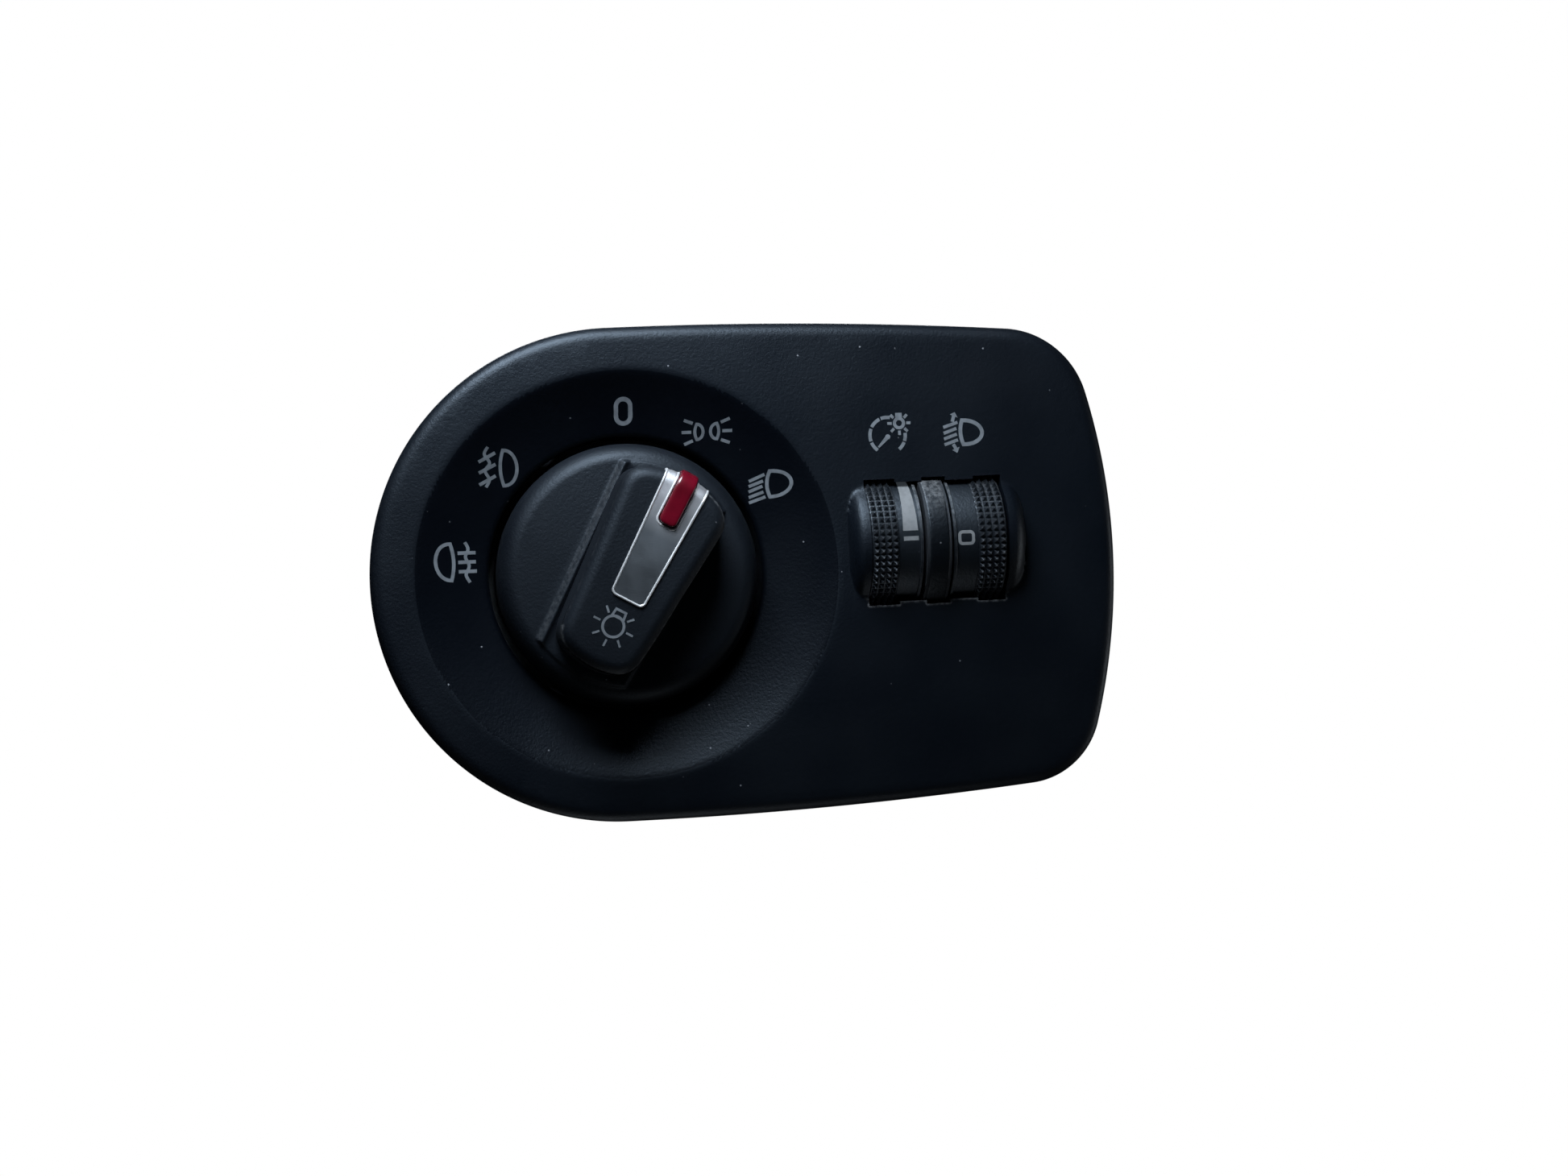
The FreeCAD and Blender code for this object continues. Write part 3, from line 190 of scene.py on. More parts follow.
def grained_plastic(name, dark, light, roughness, grain=1900.0, depth=0.0001, wear_and_highlight=0.25, dust=0.55,
                    shine=0.32):
    """Moulded plastic with a fine grain, a little dust, and a light grey where the painted attribute is
    full: rubbed wear on some parts, painted highlights on others.
    """
    mat = material(name, dark, roughness, Specular_IOR_Level=shine)
    mat.node_tree.nodes["Principled BSDF"].inputs["Specular Tint"].default_value = (0.76, 0.88, 1, 1)
    n = Nodes(mat)
    cloud = n.noise(38.0, 4.0)
    fine = n.noise(grain, 2.0, roughness=0.7)
    colour = n.ramp(cloud, [(0.32, dark), (0.72, light)])
    # The painted attribute holds rubbed wear and painted highlights; both mix in as one light grey.
    painted = n.add("ShaderNodeAttribute", attribute_name="wear_and_highlight").outputs["Fac"]
    wear_and_highlight_mix = n.math("MULTIPLY", n.math("POWER", painted, 2.0),
                  n.range(n.noise(1300.0, 6.0, roughness=0.65), 0.4, 0.62, 0.12 * wear_and_highlight, wear_and_highlight))
    colour = n.mix(wear_and_highlight_mix, colour, (0.16, 0.165, 0.17))
    speck = n.feed(n.add("ShaderNodeTexVoronoi", feature="F1"), {"Scale": 260.0, "Vector": n.place})
    spots = n.range(speck, 0.025, 0.05, 1.0, 0.0)
    rare = n.range(n.noise(90.0, 1.0), 0.46, 0.52, 0.0, dust)
    colour = n.mix(n.math("MULTIPLY", spots, rare), colour, (0.3, 0.31, 0.33))
    haze = n.range(n.noise(55.0, 5.0), 0.3, 0.7, roughness - 0.04, roughness + 0.06)
    n.feed(n.shader, {"Base Color": colour, "Roughness": haze})
    n.bump((fine, 0.6, depth), (cloud, 0.08, 0.00012))
    return mat


def metal(name, colour, roughness, scratch=0.12, stretch=(1, 1, 60), share=1.0, highlight_colour=None):
    """Brushed metal, with another colour where the painted attribute is full; on the trim that colour is a
    painted highlight.
    """
    mat = material(name, colour, roughness, Metallic=share)
    n = Nodes(mat)
    if highlight_colour:
        painted = n.add("ShaderNodeAttribute", attribute_name="wear_and_highlight").outputs["Fac"]
        tone = n.mix(n.noise(900.0, 5.0, (1, 1, 0.25)), tuple(0.8 * c for c in colour), colour)
        n.feed(n.shader, {"Base Color": n.mix(painted, tone, highlight_colour)})
    brushed = n.noise(700.0, 3.0, stretch)
    haze = n.noise(140.0, 6.0)
    n.feed(n.shader, {"Roughness": n.range(haze, 0.35, 0.7, roughness - 0.06, roughness + 0.12)})
    n.bump((brushed, scratch, 0.00002), (haze, 0.05, 0.00003))
    return mat


def paint_print():
    """The light grey ink of the signs, a little rubbed."""
    mat = material("sign_ink", (0.12, 0.13, 0.14), 0.55)
    n = Nodes(mat)
    n.mottle(900.0, 5.0, (0.094, 0.104, 0.114), (0.14, 0.155, 0.17))
    n.bump((n.noise(3000.0, 2.0), 0.2, 0.00002))
    return mat


# Mesh helpers

def new_object(name, data):
    obj = bpy.data.objects.new(name, data)
    bpy.context.collection.objects.link(obj)
    return obj


def add_mesh(name, shape, mat, body, sharp, wear_and_highlight=None):
    """A piece from (points in millimetres, faces) that rides on a body; wear_and_highlight(x, y, z) is 0 to
    1, for rubbed wear and painted highlights.
    """
    mesh = bpy.data.meshes.new(name)
    mesh.from_pydata([Vector(v) * MM for v in shape[0]], [], shape[1])
    mesh.validate()
    bm = bmesh.new()
    bm.from_mesh(mesh)
    bmesh.ops.remove_doubles(bm, verts=bm.verts, dist=1e-7)
    bmesh.ops.dissolve_degenerate(bm, edges=bm.edges, dist=1e-8)
    bmesh.ops.recalc_face_normals(bm, faces=bm.faces)
    bm.to_mesh(mesh)
    bm.free()
    if wear_and_highlight:
        # The attribute holds rubbed wear and painted highlights.
        rubbed = mesh.attributes.new("wear_and_highlight", "FLOAT", "POINT")
        rubbed.data.foreach_set("value", [wear_and_highlight(*(v.co / MM)) for v in mesh.vertices])
    if body == "knob":
        mesh.transform(Matrix.Rotation(radians(REST_TURN), 4, "Y"))
    mesh.polygons.foreach_set("use_smooth", [True] * len(mesh.polygons))
    mesh.set_sharp_from_angle(angle=radians(sharp))
    piece = new_object(name, mesh)
    mesh.materials.append(mat)
    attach(piece, body)
    return piece


def loft(rings, closed=True, cap_end=False):
    """Quads between rings of equal length, as (points, faces)."""
    count = len(rings[0])
    verts = [point for ring in rings for point in ring]
    faces = []
    for a in range(0, len(verts) - count, count):
        for i in range(count if closed else count - 1):
            j = (i + 1) % count
            faces.append((a + i, a + j, a + count + j, a + count + i))
    if cap_end:
        faces.append(tuple(range(len(verts) - count, len(verts))))
    return verts, faces


def join(*parts):
    """Several (points, faces) as one."""
    verts, faces = [], []
    for points, quads in parts:
        base = len(verts)
        verts += points
        faces += [tuple(base + i for i in face) for face in quads]
    return verts, faces


def at_depth(loop, y):
    """A flat outline set at a depth."""
    return [(x, y, z) for x, z in loop]


def lifted(loop, height):
    """A flat outline lifted onto a surface."""
    return [(x, height(x, z), z) for x, z in loop]


def fill(outer, holes, inside, height, extra_loops=()):
    """Triangles over a flat region with holes, lifted by a height function."""
    points, edges = [], []
    for loop in [outer, *holes, *extra_loops]:
        base = len(points)
        points += [Vector(p) for p in loop]
        edges += [(base + i, base + (i + 1) % len(loop)) for i in range(len(loop))]
    points += [Vector(p) for p in inside]
    verts, _, faces, *_ = delaunay_2d_cdt(points, edges, [], 0, 1e-5)
    kept = []
    for face in faces:
        middle = sum((verts[i] for i in face), Vector((0, 0))) / len(face)
        if within(middle, outer) and not any(within(middle, hole) for hole in holes):
            kept.append(tuple(face))
    return [(v.x, height(v.x, v.y), v.y) for v in verts], kept


def within(point, loop):
    """Whether a flat point lies inside a closed loop."""
    inside = False
    x, y = point
    x1, y1 = loop[-1]
    for x2, y2 in loop:
        if (y1 > y) != (y2 > y) and x < (x2 - x1) * (y - y1) / (y2 - y1) + x1:
            inside = not inside
        x1, y1 = x2, y2
    return inside


def polar(centre, radius, angle):
    """The point at an angle on a flat circle."""
    return centre[0] + radius * cos(angle), centre[1] + radius * sin(angle)


def circle(radius, count=240, centre=(0, 0)):
    step = 2 * pi / count
    return [polar(centre, radius, i * step) for i in range(count)]


def on_drum(radius, angle, x):
    """A point round the thumbwheels' axle; angle 0 is straight ahead, a quarter turn is up."""
    return x, WHEEL_Y - radius * cos(angle), WHEEL_Z + radius * sin(angle)


def lathe_x(profile, count, start=0.0, sweep=360.0):
    """Turns (x, radius) pairs about the thumbwheels' axle."""
    spans = count if sweep == 360 else count - 1
    angles = [radians(start + sweep * i / spans) for i in range(count)]
    return loft([[on_drum(radius, angle, x) for angle in angles] for x, radius in profile],
                closed=sweep == 360)


def lathe_y(profile):
    """Turns (radius, y) pairs about the knob's axis."""
    return loft([at_depth(circle(radius), y) for radius, y in profile])


def arc_points(centre, radius, start, end, count):
    """Points along an arc, without its end."""
    return [Vector(polar(centre, radius, start + (end - start) * i / count)) for i in range(count)]


# Panel

def circles_meet(c0, r0, c1, r1, side):
    """Where two circles cross, on the given side of the line between their centres."""
    gap = c1 - c0
    d = gap.length
    along = (d * d + r0 * r0 - r1 * r1) / (2 * d)
    off = sqrt(max(r0 * r0 - along * along, 0))
    unit = gap / d
    return c0 + unit * along + unit.orthogonal() * off * side


def outline_arcs():
    """(centre, radius, start angle, end angle, points) round the plate, anticlockwise."""
    right_centre = Vector((CORNER.x - sqrt(RIGHT_RADIUS ** 2 - CORNER.y ** 2), 0))
    bow = radians(90 + BOW_ANGLE)
    toward = Vector((cos(bow), sin(bow)))
    top_centre = LEFT_CENTRE + toward * (LEFT_RADIUS - BOW_RADIUS)
    foot_centre = Vector((top_centre.x, -top_centre.y))

    def corner(bow_centre, radius, side):
        """The corner's centre, and its angles from the right side's and the bow's."""
        c = circles_meet(bow_centre, BOW_RADIUS - radius, right_centre, RIGHT_RADIUS - radius, side)
        return c, *(atan2(c.y - other.y, c.x - other.x) for other in (right_centre, bow_centre))

    upper, upper_side, upper_top = corner(top_centre, UPPER_CORNER, -1)
    lower, lower_side, lower_foot = corner(foot_centre, LOWER_CORNER, 1)
    return [
        (right_centre, RIGHT_RADIUS, lower_side, upper_side, 60),
        (upper, UPPER_CORNER, upper_side, upper_top, 40),
        (top_centre, BOW_RADIUS, upper_top, bow, 60),
        (LEFT_CENTRE, LEFT_RADIUS, bow, 2 * pi - bow, 170),
        (foot_centre, BOW_RADIUS, -bow, lower_foot, 60),
        (lower, LOWER_CORNER, lower_foot, lower_side, 40),
    ]


ARCS = outline_arcs()


def outline(inward):
    """The plate's outline, moved inwards."""
    return [tuple(p) for centre, radius, start, end, count in ARCS
            for p in arc_points(centre, radius - inward, start, end, count)]


def edge_distance(x, z):
    """How far a point on the plate lies inside its outline."""
    best = 1e9
    for centre, radius, start, end, _ in ARCS:
        dx, dz = x - centre.x, z - centre.y
        middle = (start + end) / 2
        turn_off = (atan2(dz, dx) - middle + pi) % (2 * pi) - pi
        if abs(turn_off) <= abs(end - start) / 2 + 1e-6:
            best = min(best, radius - hypot(dx, dz))
    return best


# Centre of the dish's hollow arc in (radius, y)
DISH_CENTRE = circles_meet(Vector((DISH, -FACE)), DISH_ARC, Vector((HOLE, HOLE_FLOOR)), DISH_ARC, 1)


def clamp(value):
    """A value kept between 0 and 1."""
    return min(max(value, 0), 1)


def soft_max(a, b, k):
    """The larger of two values, with the change between them rounded off."""
    return (a + b + sqrt((a - b) ** 2 + k * k)) / 2


def crowned_y(z):
    """The slightly crowned plate."""
    return CROWN - FACE - sqrt(CROWN ** 2 - z * z)


def dish_y(r):
    """The hollow round the knob."""
    return DISH_CENTRE.y + sqrt(DISH_ARC ** 2 - (r - DISH_CENTRE.x) ** 2)


def in_dish(x, y, z):
    """Whether a point of the shell lies on the hollow."""
    r = hypot(x, z)
    return HOLE < r < DISH + 1 and dish_y(r) > crowned_y(z) and y < dish_y(r) + LIP


def face_y(x, z):
    """The front surface of the plate, dish and cheeks."""
    y = crowned_y(z)
    r = hypot(x, z)
    if r < DISH + 3:
        y = soft_max(y, dish_y(r), 0.28)
    for inner, width, way, power in ((WINDOW_LEFT, LEFT_CHEEK, -1, 3.2),
                                     (WINDOW_RIGHT, RIGHT_CHEEK, 1, 2.3)):
        out = (x - inner) * way
        if -0.01 <= out < width + 1.5 and abs(z - WHEEL_Z) < CHEEK:
            base = FACE + WHEEL_Y - 0.6
            share = max(1 - (max(out, 0) / width) ** power, 0.0)
            reach = base + (CHEEK - base) * sqrt(share)
            tall = reach ** 2 - (z - WHEEL_Z) ** 2
            if tall > 0:
                y = -soft_max(-y, sqrt(tall) - WHEEL_Y, 0.16)
    return y


def window_distance(x, z):
    """How far a point on the plate lies outside the stepped window."""
    best = 1e9
    for left, right, half in OPENINGS:
        dx = max(left - x, x - right, 0)
        dz = max(abs(z - WHEEL_Z) - half, 0)
        best = min(best, hypot(dx, dz))
    return best


def round_off(d, radius):
    """How much a rounded edge drops at a distance from its wall."""
    return radius - sqrt(max(radius ** 2 - (radius - d) ** 2, 0)) if d < radius else 0


def plate_y(x, z):
    """face_y with the rounded outer edge and hole lip."""
    lip = round_off(max(hypot(x, z) - HOLE, 0), LIP)
    return face_y(x, z) + lip + round_off(max(edge_distance(x, z), 0), EDGE)


def back_y(x, z):
    """The inner surface behind the dish and the plate."""
    r = hypot(x, z)
    share = clamp((r - COLLAR) / (DISH - COLLAR))
    return (HOLE_FLOOR + WALL) * (1 - share) - CAVITY * share


def window_loop():
    """The stepped window's corners, with points along its long sides."""
    upper, lower = [], []
    for left, right, half in OPENINGS:
        count = max(2, round(right - left))
        xs = [left + 0.004 + (right - left - 0.008) * i / count for i in range(count + 1)]
        upper += [(x, WHEEL_Z + half) for x in xs]
        lower = [(x, WHEEL_Z - half) for x in reversed(xs)] + lower
    sides = [WHEEL_Z + t for t in range(-10, 11)]
    right_side = [(WINDOW_RIGHT, z) for z in reversed(sides)]
    left_side = [(WINDOW_LEFT, z) for z in sides]
    return upper + right_side + lower + left_side


def window_ring(d):
    """Points at a distance outside the window's edge."""
    points = []
    for left, right, half in OPENINGS:
        for way in (-1, 1):
            points += [(left + (right - left) * k / 14, WHEEL_Z + way * (half + d)) for k in range(15)]
            points += [(x, WHEEL_Z + way * (half - 0.12 * k))
                       for k in range(6) for x in (left - d, right + d)]
    return [p for p in points if abs(window_distance(*p) - d) < 0.001]


def steps(start, end, step):
    """Numbers from start up to end, a step apart."""
    while start < end:
        yield start
        start += step


def panel_points():
    """Places between the outlines where the face gets more points."""
    points = []
    for r in [24.6, 26, 27.5, 29, 30.5, 32, 33.4, 34.4, 35.0, 35.5, 35.9, 36.3, 36.7, 37.2, 38.0]:
        points += circle(r, 240 if r > 33 else 160)
    for left, right in ((WINDOW_LEFT - LEFT_CHEEK - 1.2, WINDOW_LEFT - 0.25),
                        (WINDOW_RIGHT + 0.25, WINDOW_RIGHT + RIGHT_CHEEK + 1.2)):
        points += [(x, WHEEL_Z + z) for x in steps(left, right, 0.3) for z in steps(-11.0, 11.0, 0.42)]
    for x in steps(-42.0, 86, 1.7):
        for z in steps(-42.0, 42.5, 1.7):
            near_cheek = WINDOW_LEFT - 5 < x < WINDOW_RIGHT + 6 and abs(z - WHEEL_Z) < 12.5
            if hypot(x, z) > 39 and not near_cheek:
                points.append((x + 0.4 * sin(z * 3), z))
    return [p for p in points if edge_distance(*p) > EDGE + 0.4]


def panel_edge_wear_and_highlight(x, y, z):
    """A painted highlight along the window's lower edge, and a little wear along the outer edge."""
    if WINDOW_LEFT - 1 < x < WINDOW_RIGHT + 1 and abs(z - WHEEL_Z) < 12 and y < -6:
        # Painted highlight on the window's lower edge.
        return 1 if window_distance(x, z) < 0.3 and z < WHEEL_Z - 9.5 else 0
    return 0.16 if -7.4 < y < -5 and edge_distance(x, z) < 1.4 else 0


def make_panel(mat, shaded_dish_mat):
    window = window_loop()
    inside = [p for p in panel_points() if not within(p, window) and window_distance(*p) > 0.85]
    for d in (0.08, 0.2, 0.5):
        inside += window_ring(d)
    for d in (0.04, 0.12, 0.26, 0.46, 0.68, LIP):
        inside += circle(HOLE + d)
    outer, inner = outline(0.0), outline(WALL)
    rims = [outline(d) for d in (0.04, 0.15, 0.35, 0.65, 1.05, 1.6, EDGE)]
    front = fill(outer, [circle(HOLE), window], inside, plate_y, rims)
    skirt = loft([lifted(outer, plate_y), at_depth(outer, -2.6), at_depth(outer, -SEAT_BEVEL),
                  at_depth(outline(SEAT_BEVEL), 0), at_depth(inner, 0), at_depth(inner, -CAVITY)])
    flared = [(x, WHEEL_Z + FLARE * copysign(1, z - WHEEL_Z)) if abs(z - WHEEL_Z) > FLARE_START
              else (x, z) for x, z in window]
    back = fill(inner, [circle(COLLAR), flared], circle(30) + circle(34) + circle(DISH), back_y)
    walls = loft([lifted(window, plate_y), at_depth(window, -5.95), at_depth(flared, -CAVITY)])
    collar = lathe_y([(HOLE, plate_y(HOLE, 0)), (HOLE, HOLE_FLOOR + 1.5), (HOLE, COLLAR_END),
                      (COLLAR, COLLAR_END), (COLLAR, HOLE_FLOOR + WALL)])
    piece = add_mesh("panel_shell", join(front, skirt, back, walls, collar), mat, "switch_base",
                     50, panel_edge_wear_and_highlight)
    # Faces in the hollow take the darker copy: painted shade.
    piece.data.materials.append(shaded_dish_mat)
    for face in piece.data.polygons:
        face.material_index = int(in_dish(*(face.center / MM)))
    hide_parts("front_panel")


# Knob

def plinth_half(b):
    """Half the plinth's width at a height on the cap."""
    return 10.05 - 1.5 * (18 - b) / 36


def cap_height(a, b):
    """How far the knob's cap stands to the driver."""
    r = hypot(a, b)
    floor = KNOB_FLOOR + CAP_RISE - r * r / 2 / CAP_CROWN
    if r > KNOB_FACE:
        share = min((r - KNOB_FACE) / (KNOB - KNOB_FACE), 1)
        drop = 0.42 * share + 4.1 * (1 - sqrt(max(1 - share ** 2.2, 0)))
        floor = KNOB_FLOOR + CAP_RISE - KNOB_FACE ** 2 / 2 / CAP_CROWN - drop
    side = a - PLINTH_SHIFT
    gap = plinth_half(b) - abs(side)
    step = (gap + 0.6) / 1.35 if side < 0 else gap / 0.7
    rise = min(max(step, 0), (KNOB_FACE + 0.35 - r) / 0.7, 1)
    level = rise * rise * (3 - 2 * rise) if rise > 0 else 0
    if side < 0 and gap > 0.75:
        level -= 0.6 * min((gap - 0.75) / 0.75, 1) * level
    return floor + (PLINTH - KNOB_FLOOR) * level


def cap_crest_wear_and_highlight(a, y, b):
    """Wear and a painted highlight along the crest of the plinth's left slope, the side facing the light."""
    gap = plinth_half(b) + a - PLINTH_SHIFT
    near = clamp(2.0 - abs(gap - 0.05) * 2.6)
    return 0.38 * near if y < -8 and hypot(a, b) < KNOB_FACE else 0


def make_cap(mat):
    rings = [KNOB - d for d in (0.01, 0.06, 0.2, 0.45, 0.8, 1.25, 1.8, 2.4)]
    rings += [KNOB_FACE + d for d in (0.35, 0.17, 0.0, -0.17, -0.35)]
    inside = [p for r in rings[1:] for p in circle(r, CAP_POINTS)]
    # Rows along the plinth's left slope and right edge, and a grid between
    for side, offsets in ((-1, (-0.6, -0.4, -0.2, 0.0, 0.2, 0.4, 0.6, 0.75, 0.95, 1.2, 1.5)),
                          (1, (0.0, 0.12, 0.24, 0.36, 0.48, 0.6, 0.7, 1.1))):
        for offset in offsets:
            for b in (-18.6 + i * 0.25 for i in range(150)):
                inside.append((PLINTH_SHIFT + side * (plinth_half(b) - offset), b))
    step = 1.1
    count = int(KNOB_FACE / step)
    inside += [(i * step, j * step) for i in range(-count, count + 1) for j in range(-count, count + 1)
               if hypot(i, j) * step < KNOB_FACE - 0.7]
    inside = [p for p in inside if hypot(*p) < rings[1] + 0.001]

    rim, wall = circle(rings[0], CAP_POINTS), circle(KNOB - CAP_WALL, CAP_POINTS)
    top = fill(rim, [], inside, lambda a, b: -cap_height(a, b))
    skirt = loft([lifted(rim, lambda a, b: -cap_height(a, b)), at_depth(rim, CAP_FOOT),
                  at_depth(wall, CAP_FOOT), at_depth(wall, CAP_FLOOR)], cap_end=True)
    socket = loft([at_depth(circle(SOCKET, 64), y) for y in (CAP_FLOOR, SOCKET_END)], cap_end=True)
    piece = add_mesh("knob_cap", join(top, skirt, socket), mat, "knob", 55, cap_crest_wear_and_highlight)
    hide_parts("knob_body")


def rounded(corners, counts):
    """A closed outline through corners (x, y, radius), anticlockwise."""
    points = []
    total = len(corners)
    for i, (x, y, radius) in enumerate(corners):
        here = Vector((x, y))
        back = (Vector(corners[i - 1][:2]) - here).normalized()
        ahead = (Vector(corners[(i + 1) % total][:2]) - here).normalized()
        half = back.angle(ahead) / 2
        reach = radius / tan(half)
        centre = here + (back + ahead).normalized() * (radius / sin(half))
        start, end = here + back * reach - centre, here + ahead * reach - centre
        first = atan2(start.y, start.x)
        sweep = (atan2(end.y, end.x) - first + pi) % (2 * pi) - pi
        points += [tuple(centre + radius * Vector((cos(first + sweep * k / counts),
                                                   sin(first + sweep * k / counts))))
                   for k in range(counts + 1)]
    return points


def dense(loop, step):
    """Points no further apart than a step along a closed outline."""
    points = []
    for i, start in enumerate(loop):
        a, b = Vector(start), Vector(loop[(i + 1) % len(loop)])
        count = max(1, ceil((b - a).length / step))
        points += [tuple(a + (b - a) * k / count) for k in range(count)]
    return points


def inset(loop, amount):
    """A closed anticlockwise outline moved inwards along its corner normals."""
    moved = []
    count = len(loop)
    for i in range(count):
        before, here, after = Vector(loop[i - 1]), Vector(loop[i]), Vector(loop[(i + 1) % count])
        d0, d1 = (here - before).normalized(), (after - here).normalized()
        normal = (d0 + d1).orthogonal()
        if normal.length < 1e-6:
            normal = d0.orthogonal()
        normal.normalize()
        scale = 1 / max(0.5, normal.dot(d0.orthogonal()))
        moved.append(tuple(here + normal * amount * scale))
    return moved


def grip_loop():
    """The tapered bar seen from the front, anticlockwise from its lower right."""
    return smooth_loop([
        (7.75, -11.6), (8.3, -6.0), (8.75, 0.0), (9.3, 6.0), (9.75, 11.4), (9.72, 13.4), (9.2, 14.8),
        (8.2, 15.95), (6.6, 16.95), (3.6, 17.9), (0.2, 18.25), (-3.2, 17.9), (-6.0, 17.1), (-7.7, 16.2),
        (-8.8, 15.0), (-9.3, 13.4), (-9.3, 11.4), (-8.85, 6.0), (-8.35, 0.0), (-7.9, -6.0),
        (-7.45, -11.6), (-7.2, -13.4), (-6.55, -14.9), (-5.3, -16.1), (-3.2, -16.95), (-0.3, -17.4),
        (2.4, -17.3), (4.9, -16.65), (6.4, -15.6), (7.3, -14.0)], 5)


def spline(points, i, count):
    """The steps of a smooth curve from one point towards the next."""
    p0, p1, p2, p3 = (Vector(points[(i + k) % len(points)]) for k in (-1, 0, 1, 2))
    return [tuple(0.5 * (2 * p1 + (p2 - p0) * t + (2 * p0 - 5 * p1 + 4 * p2 - p3) * t * t
                         + (3 * p1 - p0 - 3 * p2 + p3) * t ** 3)) for t in (k / count for k in range(count))]


def smooth_loop(points, count):
    """A closed curve through points, with count steps between each pair."""
    return [p for i in range(len(points)) for p in spline(points, i, count)]


def make_grip(mat):
    loop = grip_loop()
    rings = [at_depth(inset(loop, amount), y - PLINTH)
             for amount, y in ((-0.1, 1.3), (-0.18, 0.1), (-0.15, -0.7))]
    foot = PLINTH + 0.7
    rings += [at_depth(inset(loop, 0.06 * k - 0.15), -(foot + (GRIP_TOP - BAR_EDGE - foot) * k / 4))
              for k in (1, 2, 3, 4)]
    for k in range(1, 11):
        angle = pi / 2 * k / 10
        last = inset(loop, BAR_SHOULDER + BAR_EDGE * (1 - cos(angle)))
        rings.append([(a, -(bar_top(b) - BAR_EDGE + BAR_EDGE * sin(angle)), b) for a, b in last])
    inside = [(x * 1.3, z * 1.3) for x in range(-6, 7) for z in range(-13, 14)]
    inside = [p for p in inside if within(p, inset(last, 0.4))]
    top = fill(last, [], inside, lambda a, b: -bar_top(b), [inset(last, 0.35)])
    piece = add_mesh("knob_bar", join(loft(rings), top), mat, "knob", 50, bar_edge_band)
    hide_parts("knob_grip")


def bar_top(b):
    """The bar's top falls away a little towards its foot."""
    return GRIP_TOP - max(2.0 - b, 0) ** 2 / 2 / BAR_CROWN


def bar_edge_band(a, y, b):
    """Lighter on the outer half of the rounded edge, most along the right side and the foot."""
    drop = bar_top(b) + y
    band = max(0, 1 - abs(drop - 1.35) / 0.75)
    return band * (1 if a > 0 or b < -13 else 0.3)


# Trim and lens lie on a path along the bar's top and down over its end
TRIM_SHIFT, LENS_SHIFT = 0.45, 0.47
BEND, BEND_START = 2.2, 15.95
BAR_END, BAR_MIDDLE = 18.2, 0.2
TRIM_END, TRIM_FOOT, SLOT, SLOT_FOOT = 20.7, -4.9, 1.66, 9.22
LENS_END, LENS_FOOT, LENS_HALF = 21.4, 9.32, 1.6


def over_end(s, out):
    """(b, height) at a length s along the bar's top line and a height above it."""
    if s <= BEND_START:
        return s, bar_top(s) + out
    angle = (s - BEND_START) / BEND
    if angle <= pi / 2:
        radius = BEND + out
        return BEND_START + radius * sin(angle), GRIP_TOP - BEND + radius * cos(angle)
    down = s - BEND_START - BEND * pi / 2
    return BEND_START + BEND + out, GRIP_TOP - BEND - down


def on_bar(loop, out):
    """Lays (a, length) points over the bar, whose end is an arc about the knob's axis."""
    points = []
    for a, s in loop:
        b, height = over_end(s, out)
        bow = BAR_END - sqrt(BAR_END ** 2 - (a - BAR_MIDDLE) ** 2)
        share = clamp((b - 12.5) / 5.6)
        points.append((a, -height, b - bow * share * share * (3 - 2 * share)))
    return points


def bar_wall(loop, levels):
    """A wall round an outline on the bar, through (inset, height) levels."""
    return loft([on_bar(inset(loop, amount), out) for amount, out in levels])


def bar_face(loop, amount, spots, out):
    """The face inside an outline on the bar, with points at the spots well inside."""
    inside = [p for p in spots if within(p, inset(loop, amount + 0.2))]
    flat, faces = fill(inset(loop, amount), [], inside, lambda a, s: 0.0)
    return on_bar([(a, s) for a, _, s in flat], out), faces


def trim_outline():
    """The trim laid flat, anticlockwise: a wedge with a slot for the pointer."""
    return dense(rounded([
        (TRIM_SHIFT + 4.2, TRIM_END, 0.8), (LENS_SHIFT + SLOT, TRIM_END, 0.5),
        (LENS_SHIFT + SLOT, SLOT_FOOT, 0.9), (LENS_SHIFT - SLOT, SLOT_FOOT, 0.9),
        (LENS_SHIFT - SLOT, TRIM_END, 0.5), (TRIM_SHIFT - 4.2, TRIM_END, 0.8),
        (TRIM_SHIFT - 3.1, TRIM_FOOT, 1.1), (TRIM_SHIFT + 3.1, TRIM_FOOT, 1.1)], 8), 0.5)


def make_trim(face_mat, rim_mat):
    loop = trim_outline()
    rim = bar_wall(loop, ((0.0, -0.5), (0.0, 0.18), (0.05, 0.27), (0.14, 0.33), (0.27, 0.33),
                          (0.37, 0.26), (0.44, 0.19)))
    add_mesh("trim_rim", rim, rim_mat, "knob", 60)
    spots = [(TRIM_SHIFT + a * 0.5, s * 0.4) for a in range(-8, 9) for s in range(-11, 51)]
    # The face is painted lighter towards the pointer end: a painted highlight.
    piece = add_mesh("trim_face", bar_face(loop, 0.42, spots, 0.2), face_mat, "knob", 60,
                     lambda a, y, b: clamp((b - 7) / 7))
    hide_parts("knob_trim")


def make_lens(mat):
    left, right = LENS_SHIFT - LENS_HALF, LENS_SHIFT + LENS_HALF
    loop = dense(rounded([(right, LENS_END, 0.4), (left, LENS_END, 0.4), (left + 0.04, LENS_FOOT, 1.0),
                          (right - 0.04, LENS_FOOT, 1.0)], 8), 0.5)
    wall = bar_wall(loop, ((0.0, -0.6), (0.0, 0.66), (0.05, 0.82), (0.14, 0.93), (0.28, 0.99),
                           (0.5, 1.02), (0.8, 1.04)))
    spots = [(LENS_SHIFT + a * 0.3, s * 0.4) for a in (-2, -1, 0, 1, 2) for s in range(24, 52)]
    piece = add_mesh("red_pointer", join(wall, bar_face(loop, 0.8, spots, 1.04)), mat, "knob",
                     60)
    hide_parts("pointer_lens")


# Thumbwheels

